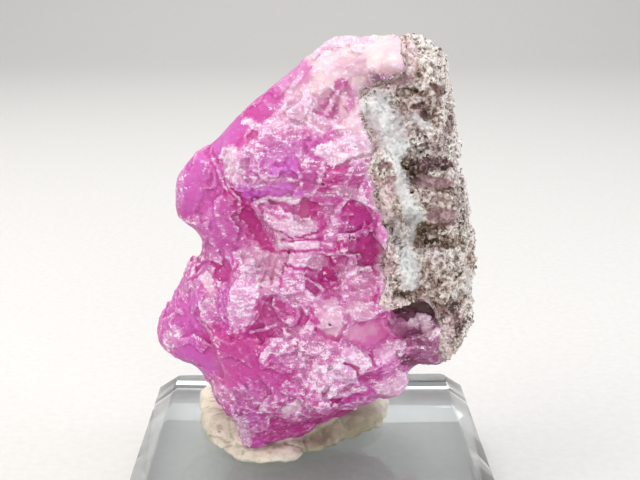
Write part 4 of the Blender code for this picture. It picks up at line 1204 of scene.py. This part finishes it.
puttyMarks = {
    # dirt darkens the creases as painted shade, and marks one real speck of dirt at the left
    "crease in front": dict(width=0.1, dirtAndShade=0.7, lift=-0.15,
        spots=[(283.5, 442.5), (291, 446), (299, 450), (303, 453)]),
    "crease in front 2": dict(width=0.1, dirtAndShade=0.7, lift=-0.15,
        spots=[(303, 441), (305.5, 448), (309, 453)]),
    "crease, right": dict(width=0.09, dirtAndShade=0.5, lift=-0.12, spots=[(325, 433), (328, 437)]),
    "crease, far right": dict(width=0.09, dirtAndShade=0.4, lift=-0.12, spots=[(352, 436), (372, 430)]),
    "fold, left": dict(width=0.14, dirtAndShade=0.4, lift=-0.13, spots=[(210, 436), (222, 438), (230, 442)]),
    "fold, left low": dict(width=0.14, dirtAndShade=0.4, lift=-0.13, spots=[(212, 447), (222, 449), (233, 446)]),
    "spot, left": dict(width=0.1, dirtAndShade=0.8, path=[(-9.35, 14.1), (-9.25, 14.1)]),
    # painted shade: the putty's darker right side, and the shadow that the stone casts on it
    "greasy right side": dict(width=2.0, shade=0.8, path=[(0.2, 13.0), (3.3, 14.4), (7.2, 16.4)]),
    "shadow of the stone": dict(width=0.5, shade=0.6, path=[(-6.0, 12.3), (-3.0, 12.9)]),
}


def insideDistance(inside, most, step):
    # how far each cell of a flat pattern lies inside its outline, up to a limit
    total = np.zeros(inside.shape, np.float32)
    for number in range(round(most / step)):
        total += inside * np.float32(step)
        around = [np.roll(inside, shift, axis=axis) for axis in (0, 1) for shift in (-1, 1)]
        if number % 2:  # every other step takes the corners too, which keeps the rings round
            around += [np.roll(side, shift, axis=1) for side in around[:2] for shift in (-1, 1)]
        inside = np.logical_and.reduce([inside, *around])
    return total


def makePutty(material):
    shape = puttyShape
    block = blockAround(["putty_pad"], shape["voxel"], 1.2)
    values = blurred(distanceTo("putty_pad", block, shape["reach"]), 1, 2)
    stone = np.minimum(
        distanceTo("calcite", block, shape["reach"]), distanceTo("host_rock", block, shape["reach"]))
    drop = round(shape["kerf"] / shape["voxel"])
    values = np.minimum(values, np.roll(values, -drop, axis=2))  # down to the base
    kerf = np.maximum(np.maximum(values, stone) - shape["kerf"], values + stone - shape["kerf"] * 1.5)
    values = np.minimum(values, kerf)
    chosen = np.abs(values) < shape["band"]
    points = placesOf(block, chosen)
    free = smoothstep(0.05, 0.8, stone[chosen])
    # the front is pressed flat: it slopes from the stone's seat down to a thin rim
    front = shape["front"]
    inward = insideDistance((values < 0.0).any(axis=2), front["slope"], shape["voxel"])
    inward = np.broadcast_to(inward[:, :, None], values.shape)[chosen]
    level = front["rim"] + (front["seat"] - front["rim"]) * np.sqrt(inward / front["slope"])
    level += front["rise"] * smoothstep(*front["ends"], points[:, 1])
    fixed = np.maximum(values[chosen], (points[:, 2] - level) * 0.9)
    # a soft lip closes it against the stone
    lip = np.maximum(np.maximum(stone[chosen] - front["lip"], points[:, 2] - level - 0.15), 0.4 - inward)
    fixed = np.minimum(fixed, lip)
    for i, (size, depth) in enumerate(shape["folds"]):
        fixed += depth * latticeNoise(points * np.array((1.0, 1.0, 1.6), np.float32), size, 210 + i) * free
    outX, outY = points[:, 0] - shape["middle"][0], points[:, 1] - shape["middle"][1]
    far = np.hypot(outX, outY)
    bend = 0.5 * latticeNoise(points, 2.6, 220)
    for i, (size, depth, width) in enumerate(shape["creases"]):
        around = np.arctan2(outY, outX) * 8.5 + bend + 0.25 * far
        spread = np.stack([around, far * 0.22, points[:, 2] * 0.2], axis=1)
        ridge = np.abs(latticeNoise(spread.astype(np.float32), size, 221 + i))
        fixed += free * depth * (1.0 - smoothstep(0.0, width, ridge))
    size, depth = shape["torn"]
    rim = 1.0 - smoothstep(shape["baseTop"] + 0.5, shape["baseTop"] + 1.5, points[:, 2])
    fixed += rim * free * depth * latticeNoise(points, size, 225)
    pressed = paint(points, dict(lift=np.zeros(len(points), np.float32)), puttyMarks)
    fixed -= pressed["lift"]
    values[chosen] = np.maximum(fixed, shape["baseTop"] - points[:, 2])
    putty = meshFromBlock("mineralPutty", values, block, shape["triangles"])
    points = vertexPlaces(putty.data)
    none = np.zeros(len(points), np.float32)
    layers = paint(points, dict(dirtAndShade=none, shade=none.copy()), puttyMarks)
    setLayers(putty.data, dict(layers, edge=0.5 + 1.8 * edgesOf(values, block, points)))
    dress(putty, "putty_pad", material)
    return putty


# Mineral putty is an oily, matt kneading clay, pressed flat by hand: soft folds, dust and short cracks.

puttyFinish = dict(light="#e2dac8", shade="#918871", dirtAndShade="#6b6152", speck="#9a907a", grain=0.2)


def mineralPuttyMaterial():
    finish = puttyFinish
    material, tree, shader = newMaterial("mineral putty, kneaded")
    place = addNode(tree, "ShaderNodeTexCoord", output="Object")
    edge, dirtAndShade, paintedShade = [
        addNode(tree, layerNode, output="Fac", attribute_name=name) for name in ("edge", "dirtAndShade", "shade")]
    grain = addNode(tree, noiseNode, {
        "Vector": place, "Scale": 1 / (finish["grain"] * mm), "Detail": 4.0, "Roughness": 0.6}, "Fac")
    patch = addNode(tree, noiseNode, {"Vector": place, "Scale": 1 / (1.6 * mm), "Detail": 3.0}, "Fac")
    # the lit and the shaded colour of the putty: patches mix them at random, and the shade layer adds painted
    # shade
    shade = addNode(tree, rangeNode, {"Value": patch, "From Min": 0.45, "From Max": 0.75, "To Max": 0.4}, 0)
    shade = addNode(tree, mathNode, {0: shade, 1: paintedShade}, 0, operation="ADD", use_clamp=True)
    colour = addNode(tree, mixNode, {
        0: shade, 6: linear(finish["light"]), 7: linear(finish["shade"])}, 2, data_type="RGBA")
    # painted shade: hollows and the marked creases darken towards the dirt colour; the marked speck is real
    # dirt
    hollow = addNode(tree, rangeNode, {
        "Value": edge, "From Min": 0.1, "From Max": 0.45, "To Min": 0.4, "To Max": 0.0}, 0)
    hollow = addNode(tree, mathNode, {0: hollow, 1: dirtAndShade}, 0, operation="MAXIMUM")
    colour = addNode(tree, mixNode, {0: hollow, 6: colour, 7: linear(finish["dirtAndShade"])}, 2, data_type="RGBA")
    speck = addNode(tree, rangeNode, {"Value": grain, "From Min": 0.56, "From Max": 0.68, "To Max": 0.45}, 0)
    colour = addNode(tree, mixNode, {0: speck, 6: colour, 7: linear(finish["speck"])}, 2, data_type="RGBA")
    bump = addNode(tree, bumpNode, {"Strength": 0.6, "Distance": 0.07 * mm, "Height": grain}, "Normal")
    tree.links.new(colour, shader.inputs["Base Color"])
    tree.links.new(bump, shader.inputs["Normal"])
    shader.inputs["Roughness"].default_value = 0.82
    shader.inputs["IOR"].default_value = 1.47
    return material


# Display base

baseShape = dict(edge=0.18, segments=3)


def makeBase(material):
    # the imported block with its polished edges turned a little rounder
    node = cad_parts["display_base"]
    mesh = node.data.copy()
    mesh.name = "clearBase"
    work = bmesh.new()
    work.from_mesh(mesh)
    bmesh.ops.remove_doubles(work, verts=work.verts, dist=0.001 * mm)
    bmesh.ops.dissolve_limit(work, angle_limit=math.radians(1.0), verts=work.verts, edges=work.edges)
    bmesh.ops.bevel(work, geom=work.edges, offset=baseShape["edge"] * mm, segments=baseShape["segments"],
                    profile=0.5, affect="EDGES", clamp_overlap=True)
    bmesh.ops.recalc_face_normals(work, faces=work.faces)
    work.to_mesh(mesh)
    work.free()
    base = addObject("clearBase", mesh)
    mesh.shade_smooth()
    mesh.set_sharp_from_angle(angle=math.radians(40.0))
    dress(base, "display_base", material)
    return base


# The base is cast acrylic, sawn and polished: clear as glass, with the faintest cool tint.

def clearAcrylicMaterial():
    material, tree, shader = newMaterial("clear cast acrylic")
    place = addNode(tree, "ShaderNodeTexCoord", output="Object")
    rubbed = addNode(tree, noiseNode, {
        "Vector": place, "Scale": 1 / (6.0 * mm), "Detail": 6.0, "Roughness": 0.65}, "Fac")
    roughness = addNode(tree, rangeNode, {
        "Value": rubbed, "From Min": 0.45, "From Max": 0.8, "To Min": 0.01, "To Max": 0.07}, 0)
    tree.links.new(roughness, shader.inputs["Roughness"])
    shader.inputs["Base Color"].default_value = linear("#f6fafb")
    shader.inputs["Transmission Weight"].default_value = 1.0
    shader.inputs["IOR"].default_value = 1.49
    return material


# Loose crystals and grit, strewn over the stones

def strew(name, surface, crystals, material):
    # small crystals over a surface, more of them where one of its layers is strong
    tree = bpy.data.node_groups.new(name, "GeometryNodeTree")
    tree.interface.new_socket("Surface", in_out="INPUT", socket_type="NodeSocketGeometry")
    inputs = {}
    for label, kind, value in (
        ("Most per square metre", "NodeSocketFloat", crystals["crowd"] / mm ** 2),
        ("Smallest", "NodeSocketFloat", crystals["smallest"] * mm),
        ("Largest", "NodeSocketFloat", crystals["largest"] * mm),
        ("Flatness", "NodeSocketFloat", crystals["flatness"]),
        ("Layer from", "NodeSocketFloat", crystals["layerFrom"]),
        ("Seed", "NodeSocketInt", crystals["seed"]),
    ):
        inputs[label] = (tree.interface.new_socket(label, in_out="INPUT", socket_type=kind), value)
    tree.interface.new_socket("Crystals", in_out="OUTPUT", socket_type="NodeSocketGeometry")
    enter = addNode(tree, "NodeGroupInput").outputs
    layer = addNode(tree, "GeometryNodeInputNamedAttribute", {"Name": crystals["layer"]}, "Attribute")
    share = addNode(tree, rangeNode, {"Value": layer, "From Min": enter["Layer from"]}, 0)
    density = addNode(tree, mathNode, {0: share, 1: enter["Most per square metre"]}, 0, operation="MULTIPLY")
    spots = addNode(tree, "GeometryNodeDistributePointsOnFaces", {
        "Mesh": enter["Surface"], "Density": density, "Seed": enter["Seed"]}).outputs
    # one crystal: a cube pushed askew into a rhomb, its unit size scaled by the instance
    unit = addNode(tree, "GeometryNodeMeshCube", {"Size": (1.0, 1.0, 1.0)}, "Mesh")
    at = addNode(tree, "GeometryNodeInputPosition", output=0)
    lean = addNode(tree, "ShaderNodeSeparateXYZ", {0: at}, "Z")
    sideways = addNode(tree, mathNode, {0: lean, 1: 0.3}, 0, operation="MULTIPLY")
    askew = addNode(tree, "ShaderNodeCombineXYZ", {"X": sideways, "Y": sideways}, 0)
    unit = addNode(tree, "GeometryNodeSetPosition", {"Geometry": unit, "Offset": askew}, 0)
    turn = addNode(tree, "FunctionNodeRandomValue", {
        0: (0.0, 0.0, 0.0), 1: (0.5, 0.5, math.tau), "Seed": enter["Seed"]}, 0, data_type="FLOAT_VECTOR")
    turn = addNode(tree, "FunctionNodeEulerToRotation", {0: turn}, 0)
    turn = addNode(tree, "FunctionNodeRotateRotation", {
        "Rotation": spots["Rotation"], "Rotate By": turn}, 0, rotation_space="LOCAL")
    size = addNode(tree, "FunctionNodeRandomValue", {
        2: enter["Smallest"], 3: enter["Largest"], "Seed": enter["Seed"]}, 1, data_type="FLOAT")
    height = addNode(tree, mathNode, {0: size, 1: enter["Flatness"]}, 0, operation="MULTIPLY")
    scale = addNode(tree, "ShaderNodeCombineXYZ", {"X": size, "Y": size, "Z": height}, 0)
    crystal = addNode(tree, "GeometryNodeInstanceOnPoints", {
        "Points": spots["Points"], "Instance": unit, "Rotation": turn, "Scale": scale}, 0)
    shade = addNode(tree, "FunctionNodeRandomValue", {
        2: 0.0, 3: 1.0, "Seed": enter["Seed"]}, 1, data_type="FLOAT")
    crystal = addNode(tree, "GeometryNodeStoreNamedAttribute", {
        "Geometry": crystal, "Name": "shade", "Value": shade}, 0, data_type="FLOAT", domain="INSTANCE")
    crystal = addNode(tree, "GeometryNodeRealizeInstances", {"Geometry": crystal}, 0)
    crystal = addNode(tree, "GeometryNodeSetMaterial", {"Geometry": crystal, "Material": material}, 0)
    addNode(tree, "NodeGroupOutput", {"Crystals": crystal})

    obj = addObject(name, surface.data.copy())
    modifier = obj.modifiers.new(name, "NODES")
    modifier.node_group = tree
    for socket, value in inputs.values():
        modifier[socket.identifier] = value
    fixModifiers(obj)
    return obj


sugarCrystals = dict(  # crushed calcite: little cleavage rhombs that catch the light
    layer="frost",
    layerFrom=0.5,
    crowd=2.2,  # per square mm where the layer is full
    smallest=0.06,
    largest=0.22,
    flatness=0.5,
    seed=3,
)

gritGrains = dict(
    layer="grit",
    layerFrom=0.0,
    crowd=2.0,
    smallest=0.1,
    largest=0.26,
    flatness=0.6,
    seed=5,
)


# Crushed calcite is the same mineral in splinters, nearly white because it is full of cracks.

def crushedCalciteMaterial():
    material, tree, shader = newMaterial("crushed calcite")
    shade = addNode(tree, layerNode, output="Fac", attribute_name="shade")
    place = addNode(tree, "ShaderNodeTexCoord", output="Object")
    veins = addNode(tree, noiseNode, {"Vector": place, "Scale": 1 / (0.2 * mm), "Detail": 2.0}, "Fac")
    both = addNode(tree, mathNode, {0: shade, 1: veins}, 0, operation="MULTIPLY")
    colour = addNode(tree, mixNode, {
        0: both, 6: linear("#cf86bb"), 7: linear("#fbeaf7")}, 2, data_type="RGBA")
    tree.links.new(colour, shader.inputs["Base Color"])
    shader.inputs["Roughness"].default_value = 0.35
    shader.inputs["IOR"].default_value = 1.55
    return material


# The grit is loose grains of the rock: quartz-like pale ones, tan ones and a few dark manganese ones.

def looseGritMaterial():
    material, tree, shader = newMaterial("loose rock grit")
    shade = addNode(tree, layerNode, output="Fac", attribute_name="shade")
    ramp = addNode(tree, "ShaderNodeValToRGB", {"Fac": shade})
    ramp.color_ramp.interpolation = "CONSTANT"
    stops = ((0.0, "#cfc4bb"), (0.3, "#b1a297"), (0.55, "#8f7b6c"), (0.78, "#66504a"), (0.92, "#332a28"))
    while len(ramp.color_ramp.elements) < len(stops):
        ramp.color_ramp.elements.new(0.5)
    for element, (at, tint) in zip(ramp.color_ramp.elements, stops):
        element.position = at
        element.color = linear(tint)
    place = addNode(tree, "ShaderNodeTexCoord", output="Object")
    dust = addNode(tree, noiseNode, {"Vector": place, "Scale": 1 / (0.12 * mm), "Detail": 3.0}, "Fac")
    colour = addNode(tree, mixNode, {
        0: dust, 6: ramp.outputs["Color"], 7: linear("#94857d")}, 2, data_type="RGBA")
    tree.links.new(colour, shader.inputs["Base Color"])
    shader.inputs["Roughness"].default_value = 0.85
    shader.inputs["IOR"].default_value = 1.5
    shader.inputs["Specular IOR Level"].default_value = 0.25
    return material


# Stage

stageLook = dict(
    floor="#e2e0dd",
    shade="#d5d3d0",  # between its fibres
    width=1.6,  # metres
    depth=1.1,
    rise=0.9,
    bend=0.35,  # radius of the sweep from the floor to the backdrop
    behind=0.45,
    under=0.00005,  # just clear of the base's underside
)


def plainSweep():
    # a pale sheet that runs along the floor and curves up behind
    look = stageLook
    profile = [(-look["depth"], 0.0), (look["behind"], 0.0)]
    profile += [(look["behind"] + look["bend"] * math.sin(a), look["bend"] * (1.0 - math.cos(a)))
                for a in (math.radians(90.0 * i / 16) for i in range(1, 17))]
    profile.append((look["behind"] + look["bend"], look["rise"]))
    half = look["width"] / 2
    points = [(x, y, z - look["under"]) for y, z in profile for x in (-half, half)]
    faces = [(2 * i, 2 * i + 1, 2 * i + 3, 2 * i + 2) for i in range(len(profile) - 1)]
    mesh = bpy.data.meshes.new("plainSweep")
    mesh.from_pydata(points, [], faces)
    mesh.shade_smooth()
    sweep = addObject("plainSweep", mesh)
    material, tree, shader = newMaterial("matt paper")
    place = addNode(tree, "ShaderNodeTexCoord", output="Object")
    fibre = addNode(tree, noiseNode, {"Vector": place, "Scale": 900.0, "Detail": 3.0}, "Fac")
    colour = addNode(tree, mixNode, {
        0: fibre, 6: linear(look["shade"]), 7: linear(look["floor"])}, 2, data_type="RGBA")
    tree.links.new(colour, shader.inputs["Base Color"])
    shader.inputs["Roughness"].default_value = 0.85
    mesh.materials.append(material)


lamps = {  # place and aim in mm, size in mm, watts, colour
    "key": dict(place=(-200, -110, 250), aim=(0, 0, 32), size=200, power=0.52, colour="#fffaf4"),
    "front": dict(place=(60, -330, 130), aim=(0, 0, 28), size=220, power=0.5, colour="#ffffff"),
    "right": dict(place=(260, -60, 150), aim=(0, 0, 30), size=160, power=0.3, colour="#f4f7ff"),
    "rim": dict(place=(-140, 130, 330), aim=(0, 0, 34), size=160, power=0.28, colour="#ffffff"),
    "backdrop": dict(place=(0, 180, 560), aim=(0, 620, 40), size=500, power=2.3, colour="#ffffff"),
}


def lightStage():
    for name, lamp in lamps.items():
        data = bpy.data.lights.new(name, "AREA")
        data.shape = "SQUARE"
        data.size = lamp["size"] * mm
        data.energy = lamp["power"]
        data.color = linear(lamp["colour"])[:3]
        light = addObject(name, data)
        light.location = Vector(lamp["place"]) * mm
        aim = Vector(lamp["aim"]) - Vector(lamp["place"])
        light.rotation_euler = aim.to_track_quat("-Z", "Y").to_euler()
    world = bpy.data.worlds.new("pale room")
    world.use_nodes = True
    background = world.node_tree.nodes["Background"]
    background.inputs["Color"].default_value = linear("#eef0f3")
    background.inputs["Strength"].default_value = 0.35
    bpy.context.scene.world = world
    bpy.context.scene.view_settings.view_transform = "Standard"


def placeCamera():
    data = bpy.data.cameras.new("viewpoint")
    data.lens = viewpoint["lens"]
    data.sensor_width = viewpoint["sensor"]
    data.clip_start = 1.0 * mm
    data.clip_end = 10.0
    camera = addObject("viewpoint", data)
    camera.location = Vector(viewpoint["place"]) * mm
    camera.rotation_euler = (math.radians(90.0 + viewpoint["pitch"]), 0.0, math.radians(viewpoint["turn"]))
    bpy.context.scene.camera = camera


calcite = makeCalcite(cobaltoanCalciteMaterial())
rock = makeHostRock(hostRockMaterial())
sugar = strew("sugarCrystals", calcite, sugarCrystals, crushedCalciteMaterial())
dress(sugar, "calcite", sugar.data.materials[0])
gritMaterial = looseGritMaterial()
grit = strew("rockGrit", rock, gritGrains, gritMaterial)
dress(grit, "host_rock", gritMaterial)
fineGrains = dict(gritGrains, crowd=9.0, smallest=0.07, largest=0.18, seed=6)
seam = strew("contactGrit", calcite, fineGrains, gritMaterial)
dress(seam, "host_rock", gritMaterial)
makePutty(mineralPuttyMaterial())
makeBase(clearAcrylicMaterial())
plainSweep()
lightStage()
placeCamera()
print("floor, lamps and camera are in place")
